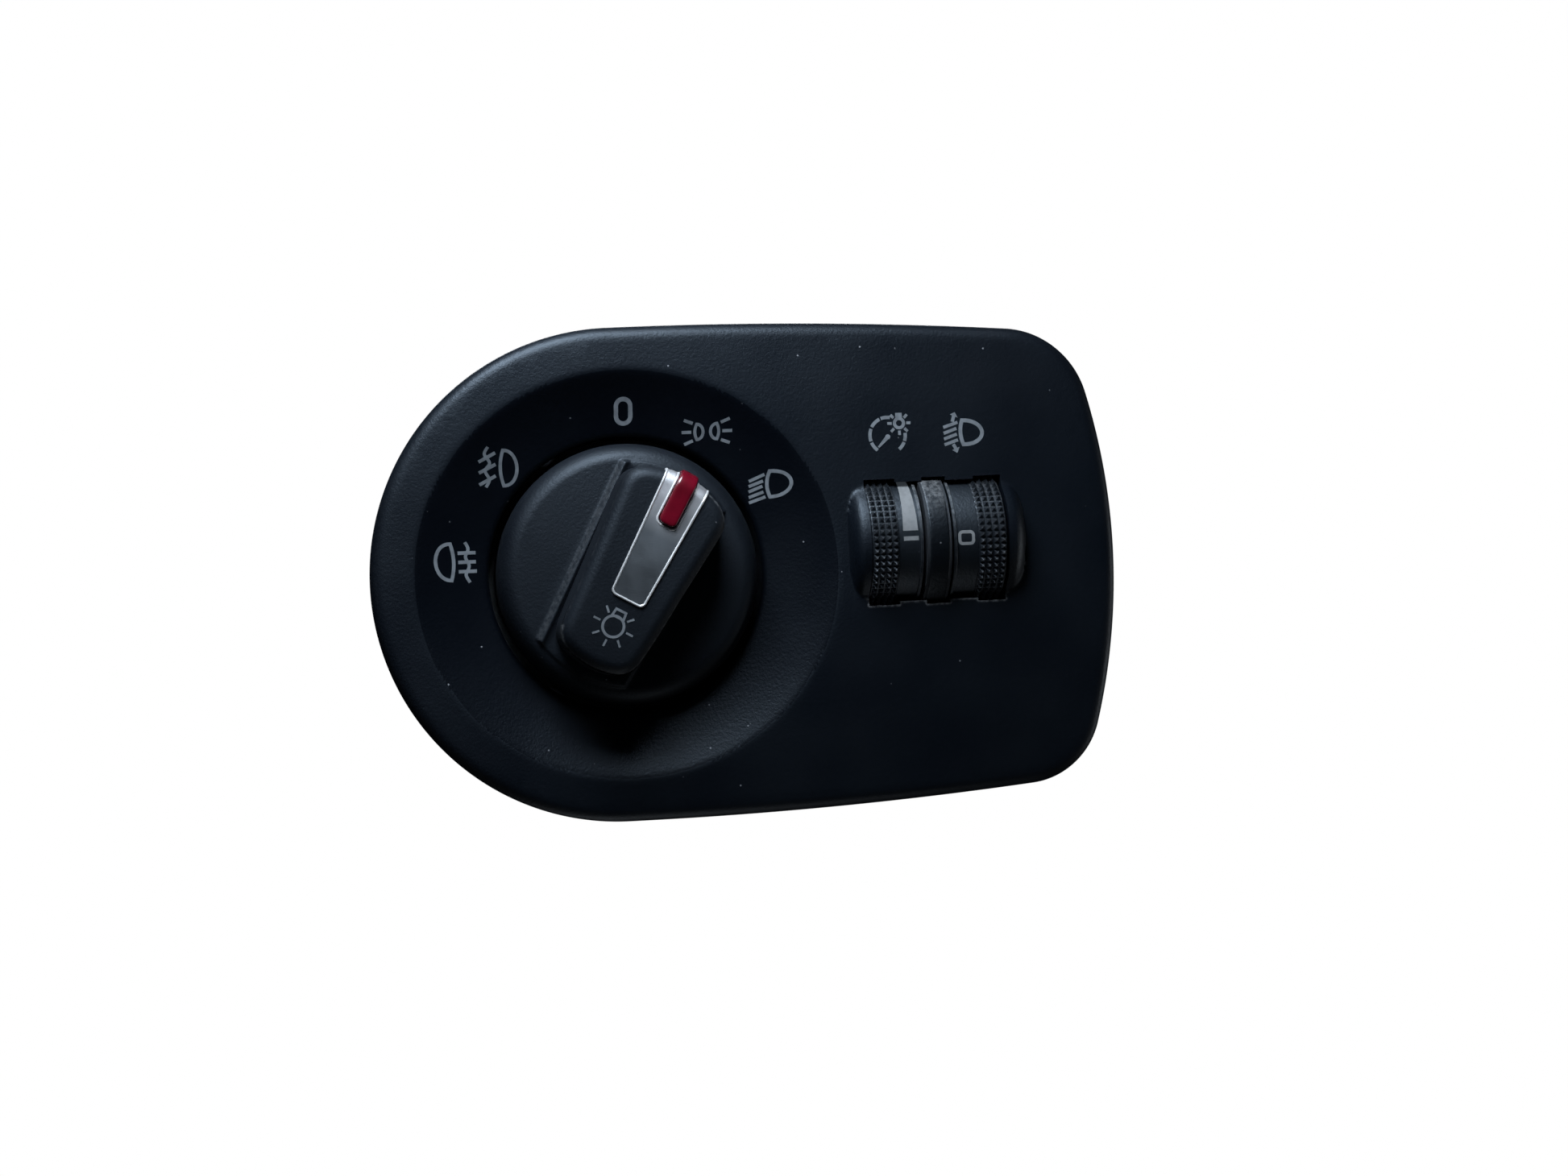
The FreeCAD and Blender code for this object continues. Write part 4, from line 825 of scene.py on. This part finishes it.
def knurled(x0, x1):
    """A band of small sharp pyramids between narrow flat valleys."""
    row, pitch = 2 * pi / KNURL_ROWS, (x1 - x0) / KNURL_COLUMNS
    cells = []
    for j in range(KNURL_ROWS):
        for i in range(KNURL_COLUMNS):
            rings = []
            for share, radius in ((0, KNURL_FOOT), (VALLEY, KNURL_FOOT), (TIP, KNURL)):
                left, right = (x0 + pitch * (i + s) for s in (share, 1 - share))
                low, high = (row * (j + s) for s in (share, 1 - share))
                rings.append([on_drum(radius, angle, x) for x, angle in (
                    (left, low), (right, low), (right, high), (left, high))])
            cells.append(loft(rings, cap_end=True))
    return join(*cells)


def wheel_dust_and_highlight(x, y, z):
    """Dust and painted highlights set by height on the turning wheel: the knurl's upper valleys, its tips
    lower down, and the flange, most at the top.
    """
    radius = hypot(y - WHEEL_Y, z - WHEEL_Z)
    upper = clamp((z - WHEEL_Z) / 6)
    if radius > KNURL - 0.05:
        return 0.65 * (1 - upper)
    if abs(radius - KNURL_FOOT) < 0.03:
        return 0.15 + 0.35 * upper
    return 0.3 + 0.5 * upper if abs(radius - FLANGE) < 0.05 else 0


def make_thumbwheel(node, name, mat, step, knurl_first):
    """A webbed wheel, knurled from one face to the step, with a bare drum and a flange beyond it."""
    left, right = span_x(node)
    face, back, way = (left, right, 1) if knurl_first else (right, left, -1)
    profile = [(step - way * 0.1, KNURL_FOOT), (step, KNURL_FOOT - 0.15), (step + way * 0.02, DRUM),
               (back - way * 0.6, DRUM), (back - way * 0.56, FLANGE - 0.04), (back - way * 0.5, FLANGE),
               (back - way * 0.08, FLANGE), (back, FLANGE - 0.08), (back, RING_BORE),
               (face + way * WEB, RING_BORE), (face + way * WEB, HUB), (back - way * HUB_INSET, HUB),
               (back - way * HUB_INSET, AXLE_HOLE), (face, AXLE_HOLE), (face, KNURL_FOOT - 0.1),
               (face + way * 0.1, KNURL_FOOT)]
    band = knurled(min(face, step) + 0.1, max(face, step) - 0.1)
    piece = add_mesh(name, join(lathe_x(profile, KNURL_ROWS * 3), band), mat, node, 30,
                     wheel_dust_and_highlight)
    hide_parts(node)


def rib_highlight_and_wear(x, y, z):
    """Lighter at the top and along the left edge, the sides facing the light: painted highlight with some
    wear.
    """
    upper = clamp((z - WHEEL_Z - 3) / 5)
    return upper * (1 if x < RIB_LEFT + 0.7 else 0.8)


def make_rib_skin(mat):
    """The rib between the thumbwheels, with softened edges."""
    left, right = RIB_LEFT + 0.45, RIB_RIGHT - 0.35
    edge = ((-0.02, -0.5), (-0.02, -0.12), (0.02, 0.0), (0.12, 0.06), (0.35, 0.08))
    profile = [(left + x, RIB + out) for x, out in edge] + [(right - x, RIB + out) for x, out in edge[::-1]]
    skin = lathe_x(profile, 120, start=-88, sweep=176)
    add_mesh("rib_skin", skin, mat, "switch_base", 50, rib_highlight_and_wear)


# Signs: flat ribbons laid on the surfaces

def ribbon(points, width, closed=False):
    """A flat line of a width, or of a width at each point, along a path."""
    count = len(points)
    widths = width if isinstance(width, list) else [width] * count
    path = [Vector(p) for p in points]
    left, right = [], []
    for i, here in enumerate(path):
        before = path[i - 1] if closed or i else here
        after = path[(i + 1) % count] if closed or i < count - 1 else here
        d0 = (here - before).normalized() if here != before else (after - here).normalized()
        d1 = (after - here).normalized() if after != here else d0
        normal = (d0 + d1).orthogonal().normalized()
        scale = 1 / max(0.45, normal.dot(d0.orthogonal()))
        shift = normal * widths[i] / 2 * scale
        left.append(tuple(here + shift))
        right.append(tuple(here - shift))
    faces = [(i, (i + 1) % count, (i + 1) % count + count, i + count)
             for i in range(count if closed else count - 1)]
    return left + right, faces


def bars(width, *ends):
    """Straight strokes, each from x, z to x, z, split so that they follow a curved surface."""
    strokes = []
    for x0, z0, x1, z1 in ends:
        a, b = Vector((x0, z0)), Vector((x1, z1))
        count = max(2, round((b - a).length / 0.35))
        strokes.append(ribbon([tuple(a + (b - a) * k / count) for k in range(count + 1)], width))
    return strokes


def bow_line(points, width):
    """A smooth open line through a few points."""
    full = [points[0], *points, points[-1]]
    path = [p for i in range(1, len(full) - 2) for p in spline(full, i, 8)]
    return ribbon(path + [points[-1]], width)


def ring(centre, radius, width, count=40, start=0.0, end=360.0):
    """A round stroke, whole or from one angle to another."""
    closed = end - start >= 360
    total = count if closed else max(3, round(count * (end - start) / 360))
    points = []
    for k in range(total if closed else total + 1):
        points.append(polar(centre, radius, radians(start + (end - start) * k / total)))
    return ribbon(points, width, closed)


def lamp(top, foot, bow, apex, width):
    """A lamp's outline: a round nose from foot to top and a slightly bowed back."""
    a, b = Vector(top), Vector(foot)
    middle = (a + b) / 2
    half = (a - b).length / 2
    reach = apex[0] - middle.x
    points = []
    for k in range(27):
        t = pi * k / 26
        rise = -cos(t)
        nose = sin(t) ** 0.9 if 0 < k < 26 else 0
        share = (rise + 1) / 2
        points.append((b.x + (a.x - b.x) * share + reach * nose,
                       middle.y + (apex[1] - middle.y) * nose * 0.5 + half * rise))
    for k in range(1, 9):
        t = k / 9
        base = a + (b - a) * t
        points.append((base.x + (bow - middle.x) * 4 * t * (1 - t), base.y))
    return ribbon(points, width, closed=True)


def disc(centre, radius, count=20):
    """A filled round dot."""
    verts = [tuple(centre)] + circle(radius, count, centre)
    return verts, [(0, 1 + k, 1 + (k + 1) % count) for k in range(count)]


def patch(corners, step):
    """A flat four-cornered field, split so that it follows a curved surface."""
    a, b, c, d = (Vector(p) for p in corners)
    n = max(2, round((b - a).length / step))
    m = max(2, round((d - a).length / step))
    verts = [tuple((a + (b - a) * i / n) * (1 - j / m) + (d + (c - d) * i / n) * (j / m))
             for j in range(m + 1) for i in range(n + 1)]
    faces = [(j * (n + 1) + i, j * (n + 1) + i + 1, (j + 1) * (n + 1) + i + 1, (j + 1) * (n + 1) + i)
             for j in range(m) for i in range(n)]
    return verts, faces


def make_sign(name, strokes, place, mat, body):
    """One sign from its strokes; each lies a hair higher so none coincide."""
    laid = [([place(*p, 0.035 + 0.0015 * level) for p in points], quads)
            for level, (points, quads) in enumerate(strokes)]
    add_mesh(name, join(*laid), mat, body, 60)


def on_face(cx, cz, scale=1.0):
    """Places a sign's flat points round a centre on the plate."""
    return lambda x, z, lift: (cx + x * scale, face_y(cx + x * scale, cz + z * scale) - lift,
                               cz + z * scale)


def on_dish(angle, radius, scale):
    """The same, with the centre given by its clock angle and radius about the knob."""
    angle = radians(angle)
    return on_face(radius * sin(angle), radius * cos(angle), scale)


def zero(x, z, corner, counts, width):
    """The stroke of a 0, from half its width and height."""
    loop = rounded([(x, -z, corner), (x, z, corner), (-x, z, corner), (-x, -z, corner)], counts)
    return ribbon(dense(loop, 0.3), width, closed=True)


def sign_side_lights():
    strokes = []
    for side in (1, -1):
        points = [(side * (1.9 - 1.2 * sin(t)), -1.46 * cos(t))
                  for t in (pi * k / 16 for k in range(17))]
        points += [(side * (1.9 + 0.38 * 4 * t * (1 - t)), 1.46 - 2.92 * t)
                   for t in (k / 7 for k in range(1, 7))]
        strokes.append(ribbon(points, 0.57, closed=True))
        strokes += bars(0.6, (side * 2.95, 0, side * 4.8, 0), (side * 2.67, 1.64, side * 4.35, 2.3),
                        (side * 2.67, -1.64, side * 4.35, -2.3))
    return strokes


def sign_dipped():
    return [lamp((-0.13, 3.04), (-0.13, -1.74), -0.66, (3.75, 0.8), 0.65)] + bars(
        0.58, (-3.92, 1.32, -1.07, 2.47), (-3.97, 0.34, -1.35, 1.27), (-4.01, -0.64, -1.47, 0.30),
        (-4.01, -1.70, -1.30, -0.77), (-4.0, -2.71, -0.96, -1.70))


def sign_front_fog():
    wave = [(-1.74, 3.59), (-2.39, 2.35), (-1.53, 0.78), (-2.36, -0.53), (-1.67, -2.08), (-2.32, -3.4)]
    return [lamp((0.86, 2.95), (0.86, -3.2), 0.32, (3.27, -0.2), 0.6)] + bars(
        0.6, (-3.47, 1.0, -0.49, 2.55), (-3.48, -0.9, -0.48, 0.56), (-3.48, -2.97, -0.53, -1.43)
    ) + [bow_line(wave, 0.55)]


def sign_rear_fog():
    wave = [(1.8, 3.32), (2.3, 2.14), (1.81, 0.81), (2.37, -0.74), (1.79, -2.24), (2.41, -3.53)]
    return [lamp((-0.69, 3.09), (-0.69, -3.09), -0.22, (-3.28, 0.3), 0.6)] + bars(
        0.6, (0.5, 1.5, 3.55, 1.5), (0.54, -0.05, 3.55, -0.05), (0.57, -1.65, 3.65, -1.65)
    ) + [bow_line(wave, 0.55)]


def bulb(centre, ring_out, hole, reach, width):
    """A bulb seen from the side: a ring and rays all round but at its cap."""
    angles = [radians(45 * k) for k in (0, 1, 3, 4, 5, 6, 7)]
    rays = [polar(centre, reach[0], angle) + polar(centre, reach[1], angle) for angle in angles]
    return [ring(centre, (ring_out + hole) / 2, ring_out - hole)] + bars(width, *rays)


def sign_dimmer():
    strokes = [ring((-0.41, -0.48), 3.16, 0.6, 72, start, end)
               for start, end in ((202, 233), (157, 197), (115, 151), (80, 110), (-20, 6), (-52, -24))]
    strokes.append(ribbon([(-0.40, -0.73), (-1.27, -1.6), (-2.13, -2.5)], [0.75, 0.55, 0.35]))
    strokes.append(disc((-0.40, -0.73), 0.45))
    strokes += bulb((1.73, 1.6), 1.1, 0.53, (1.3, 2.1), 0.5)
    strokes.append(patch([(1.12, 2.37), (2.32, 2.37), (2.32, 3.41), (1.12, 3.41)], 0.35))
    return strokes


def sign_range():
    strokes = [lamp((-0.19, 2.17), (-0.10, -2.08), -0.56, (3.36, -0.09), 0.68)]
    strokes += bars(0.55, (-3.62, 1.03, -1.0, 1.85), (-3.60, -0.02, -1.26, 0.78),
                    (-3.58, -1.02, -1.23, -0.23), (-3.55, -2.04, -1.09, -1.24))
    for head, shaft in (([(-1.41, 3.66), (-2.32, 3.28), (-0.91, 2.64)], (-1.62, 3.0, -1.95, 1.97)),
                        ([(-1.32, -3.54), (-2.23, -2.99), (-0.84, -2.48)], (-1.97, -1.99, -1.55, -2.75))):
        strokes += [(head, [(0, 1, 2)])] + bars(0.6, shaft)
    return strokes


def sign_lamp():
    """The bulb on the bar, cap upwards."""
    cap = dense([(-0.6, -7.95), (1.5, -7.95), (1.35, -6.75), (-0.45, -6.75)], 0.4)
    return bulb((0.45, -9.6), 2.0, 1.55, (2.4, 3.65), 0.36) + [ribbon(cap, 0.4, closed=True)]


def make_signs(ink):
    for name, strokes, place in (
            ("off", [zero(1.3, 2.15, 1.25, 8, 0.8)], on_dish(0.9, 28.1, 0.95)),
            ("side_lights", sign_side_lights(), on_dish(31.55, 28.3, 0.9)),
            ("dipped_beam", sign_dipped(), on_dish(61.3, 29.1, 0.93)),
            ("front_fog", sign_front_fog(), on_dish(-48, 28.7, 0.97)),
            ("rear_fog", sign_rear_fog(), on_dish(-83.4, 29.6, 1.0)),
            ("dimmer", sign_dimmer(), on_face(46.6, 22.6)),
            ("range", sign_range(), on_face(59.9, 22.15))):
        make_sign(f"sign_{name}", strokes, place, ink, "switch_base")
    make_sign("sign_bulb", sign_lamp(), lambda a, b, lift: (a, -bar_top(b) - lift, b), ink, "knob")


def on_wheel(x0, angle):
    """Places (x, along the arc) points on a drum, from a place along the axle and an angle."""
    return lambda x, v, lift: on_drum(DRUM + lift, angle + v / DRUM, x0 + x)


def drum_angle(z):
    """Where a height meets the front of the drum."""
    return asin((z - WHEEL_Z) / DRUM)


def make_drum_prints(ink):
    x = DIMMER_LEFT + DIMMER_KNURL
    lower, upper = 1.75, 32.0
    wedge = patch([(x + 0.72, lower), (x + 3.38, lower), (x + 2.79, upper), (x + 2.48, upper)], 0.5)
    make_sign("drum_wedge", [wedge], on_wheel(0, 0), ink, "dimmer_wheel")
    dash = patch([(x + 0.76, -0.38), (x + 3.4, -0.38), (x + 3.4, 0.38), (x + 0.76, 0.38)], 0.4)
    make_sign("drum_dash", [dash], on_wheel(0, drum_angle(3.9)), ink, "dimmer_wheel")
    one = [(-0.6, 0.9), (0.3, 1.4), (0.3, -1.4)]
    two = [(-1.0, 0.8), (-0.6, 1.35), (0.5, 1.35), (1.0, 0.8), (0.9, 0.2), (-1.0, -1.35), (1.1, -1.35)]
    three = [(-1.0, 1.35), (1.0, 1.35), (0.0, 0.3), (0.8, 0.1), (1.0, -0.7), (0.5, -1.35), (-1.0, -1.2)]
    for word, angle, stroke in (("zero", drum_angle(3.6), zero(1.22, 1.02, 0.55, 6, 0.55)),
                                ("one", radians(72), ribbon(one, 0.5)),
                                ("two", radians(126), ribbon(two, 0.5)),
                                ("three", radians(180), ribbon(three, 0.5))):
        make_sign(f"drum_{word}", [stroke], on_wheel(DIGIT_X, angle), ink, "level_wheel")


# Colours of the parts

def dress_nodes():
    """Materials for the solids that keep their own meshes."""
    black = grained_plastic("black_part", (0.012, 0.013, 0.015), (0.02, 0.021, 0.023), 0.55)
    looks = {
        "bearing_plate knob_shaft":
            grained_plastic("grey_part", (0.055, 0.057, 0.06), (0.075, 0.077, 0.08), 0.5),
        "housing_screws plate_screws detent_spring wheel_axle spring_clips shaft_clip":
            metal("steel", (0.55, 0.56, 0.58), 0.32),
        "connector_pins fixed_contacts contact_bridge dimmer_wiper level_wiper":
            metal("brass", (0.78, 0.6, 0.3), 0.28),
        "circuit_board":
            grained_plastic("board_green", (0.02, 0.09, 0.045), (0.03, 0.12, 0.06), 0.4, wear_and_highlight=0.0),
        "indicator_leds rotor":
            grained_plastic("white_part", (0.6, 0.6, 0.57), (0.68, 0.68, 0.65), 0.45, wear_and_highlight=0.0, dust=0.0),
        "light_guide": clear_plastic(),
        "dimmer_track level_track":
            grained_plastic("track_dark", (0.03, 0.03, 0.032), (0.045, 0.045, 0.05), 0.35),
    }
    choice = {name: mat for names, mat in looks.items() for name in names.split()}
    for name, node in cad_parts.items():
        node.data.materials.clear()
        node.data.materials.append(choice.get(name, black))


def clear_plastic():
    mat = material("clear_plastic", (0.9, 0.92, 0.93), 0.12, Transmission_Weight=0.85, IOR=1.49)
    n = Nodes(mat)
    n.bump((n.noise(180.0, 3.0), 0.05, 0.0001))
    return mat


# Studio

def white_ground(name, mesh):
    """Sets up a mesh as evenly white ground that only the camera sees."""
    mat = bpy.data.materials.new(f"{name}_white")
    mat.use_nodes = True
    tree = mat.node_tree
    tree.nodes.clear()
    glow = tree.nodes.new("ShaderNodeEmission")
    glow.inputs["Color"].default_value = (1, 1, 1, 1)
    out = tree.nodes.new("ShaderNodeOutputMaterial")
    tree.links.new(glow.outputs[0], out.inputs["Surface"])
    mesh.materials.append(mat)
    obj = new_object(name, mesh)
    for word in ("visible_diffuse", "visible_glossy", "visible_transmission", "visible_shadow"):
        setattr(obj, word, False)


def area_light(name, place, target, size_x, size_y, power, colour):
    light = bpy.data.lights.new(name, "AREA")
    light.shape = "RECTANGLE"
    light.size, light.size_y = size_x, size_y
    light.energy = power
    light.color = colour
    obj = new_object(name, light)
    obj.location = place
    direction = Vector(target) - Vector(place)
    obj.rotation_euler = direction.to_track_quat("-Z", "Y").to_euler()
    obj.visible_camera = False


def make_studio():
    low, far = -0.16, 3.0
    floor = bpy.data.meshes.new("floor")
    floor.from_pydata([(-far, -far, low), (far, -far, low), (far, far, low), (-far, far, low)], [],
                      [(0, 1, 2, 3)])
    white_ground("floor", floor)
    dome = bpy.data.meshes.new("backdrop")
    bm = bmesh.new()
    bmesh.ops.create_icosphere(bm, subdivisions=4, radius=2.6)
    bm.to_mesh(dome)
    bm.free()
    white_ground("backdrop", dome)
    world = bpy.data.worlds.new("world")
    world.use_nodes = True
    background = world.node_tree.nodes["Background"]
    background.inputs["Color"].default_value = (0.6, 0.8, 1, 1)
    background.inputs["Strength"].default_value = 0.012
    bpy.context.scene.world = world
    # name, place, target, width, height, power, colour
    area_light("key", (-0.035, -0.112, 0.195), (0.0, 0, 0.0), 0.13, 0.12, 1.42, (0.82, 0.92, 1.03))
    area_light("fill", (-0.3, -0.3, 0.1), (0.0, 0, 0.0), 0.3, 0.3, 0.02, (0.8, 0.9, 1.1))
    area_light("rear", (0.06, 0.5, 0.12), (0.0, 0.02, 0.0), 0.35, 0.35, 3.0, (0.9, 0.95, 1))
    area_light("table_right", (0.32, -0.005, -0.06), (0.0, -0.012, 0.0), 0.02, 0.2, 0.1, (0.95, 0.97, 1))
    area_light("table_foot", (0.02, -0.002, -0.3), (0.0, -0.016, 0.0), 0.3, 0.02, 0.08, (0.95, 0.97, 1))


def make_camera():
    camera = bpy.data.cameras.new("camera")
    camera.sensor_width = 36
    camera.lens = 47.82
    camera.clip_start = 0.01
    obj = new_object("camera", camera)
    yaw, pitch, roll = (radians(a) for a in (10.31, -0.42, 2.7))
    turn = Matrix.Rotation(-yaw, 4, "Z") @ Matrix.Rotation(pi / 2 + pitch, 4, "X")
    place = Matrix.Translation((-0.038, -0.362, -0.001))
    obj.matrix_world = place @ turn @ Matrix.Rotation(-roll, 4, "Z")
    bpy.context.scene.camera = obj


def main():
    plate = grained_plastic("plate_black", (0.0006, 0.0013, 0.003), (0.001, 0.0021, 0.0042), 0.46, wear_and_highlight=0.6)
    # A darker, less shiny copy of the plate's material for the dish: painted shade in the hollow.
    dish = grained_plastic("dish_black_shaded", (0.0003, 0.0008, 0.002), (0.0006, 0.0012, 0.0028), 0.44, shine=0.17)
    knob = grained_plastic("knob_black", (0.0008, 0.0014, 0.003), (0.0016, 0.0026, 0.0046), 0.56, wear_and_highlight=0.8)
    wheel = grained_plastic("wheel_black", (0.001, 0.0017, 0.003), (0.002, 0.0029, 0.0045), 0.4, wear_and_highlight=0.75,
                            shine=0.7)
    rib = grained_plastic("rib_black", (0.0005, 0.0009, 0.0018), (0.0013, 0.002, 0.003), 0.42, grain=1300.0,
                          depth=0.00015, wear_and_highlight=0.8)
    ink = paint_print()
    # The drum print glows though it is no lamp: painted glow that keeps it light in shade.
    white = material("drum_ink_glowing", (0.13, 0.14, 0.14), 0.5, Emission_Color=(0.026, 0.031, 0.037, 1),
                     Emission_Strength=1.0)
    Nodes(white).mottle(1200.0, 4.0, (0.1, 0.103, 0.104), (0.13, 0.134, 0.136))
    # The satin trim's last colour is its painted highlight.
    satin = metal("trim_satin", (0.155, 0.17, 0.185), 0.46, 0.6, (1, 1, 12), 0.92, (0.6, 0.6, 0.62))
    bright = metal("trim_bright", (0.62, 0.62, 0.62), 0.34, 0.02, share=0.55)
    red = material("lens_red", (0.1, 0.0015, 0.008), 0.24, Coat_Weight=0.4, Coat_Roughness=0.12)
    n = Nodes(red)
    n.mottle(200.0, 3.0, (0.075, 0.0012, 0.006), (0.13, 0.002, 0.011), 0.7)
    n.bump((n.noise(600.0, 2.0), 0.06, 0.00003))

    dress_nodes()
    make_panel(plate, dish)
    make_cap(knob)
    make_grip(knob)
    make_trim(satin, bright)
    make_lens(red)
    make_thumbwheel("dimmer_wheel", "dimmer_grip", wheel, DIMMER_LEFT + DIMMER_KNURL, True)
    make_thumbwheel("level_wheel", "level_grip", wheel, LEVEL_LEFT + LEVEL_DRUM, False)
    make_rib_skin(rib)
    make_signs(ink)
    make_drum_prints(white)
    make_studio()
    make_camera()
    bpy.context.scene.view_settings.view_transform = "Standard"
    bpy.context.view_layer.update()


main()
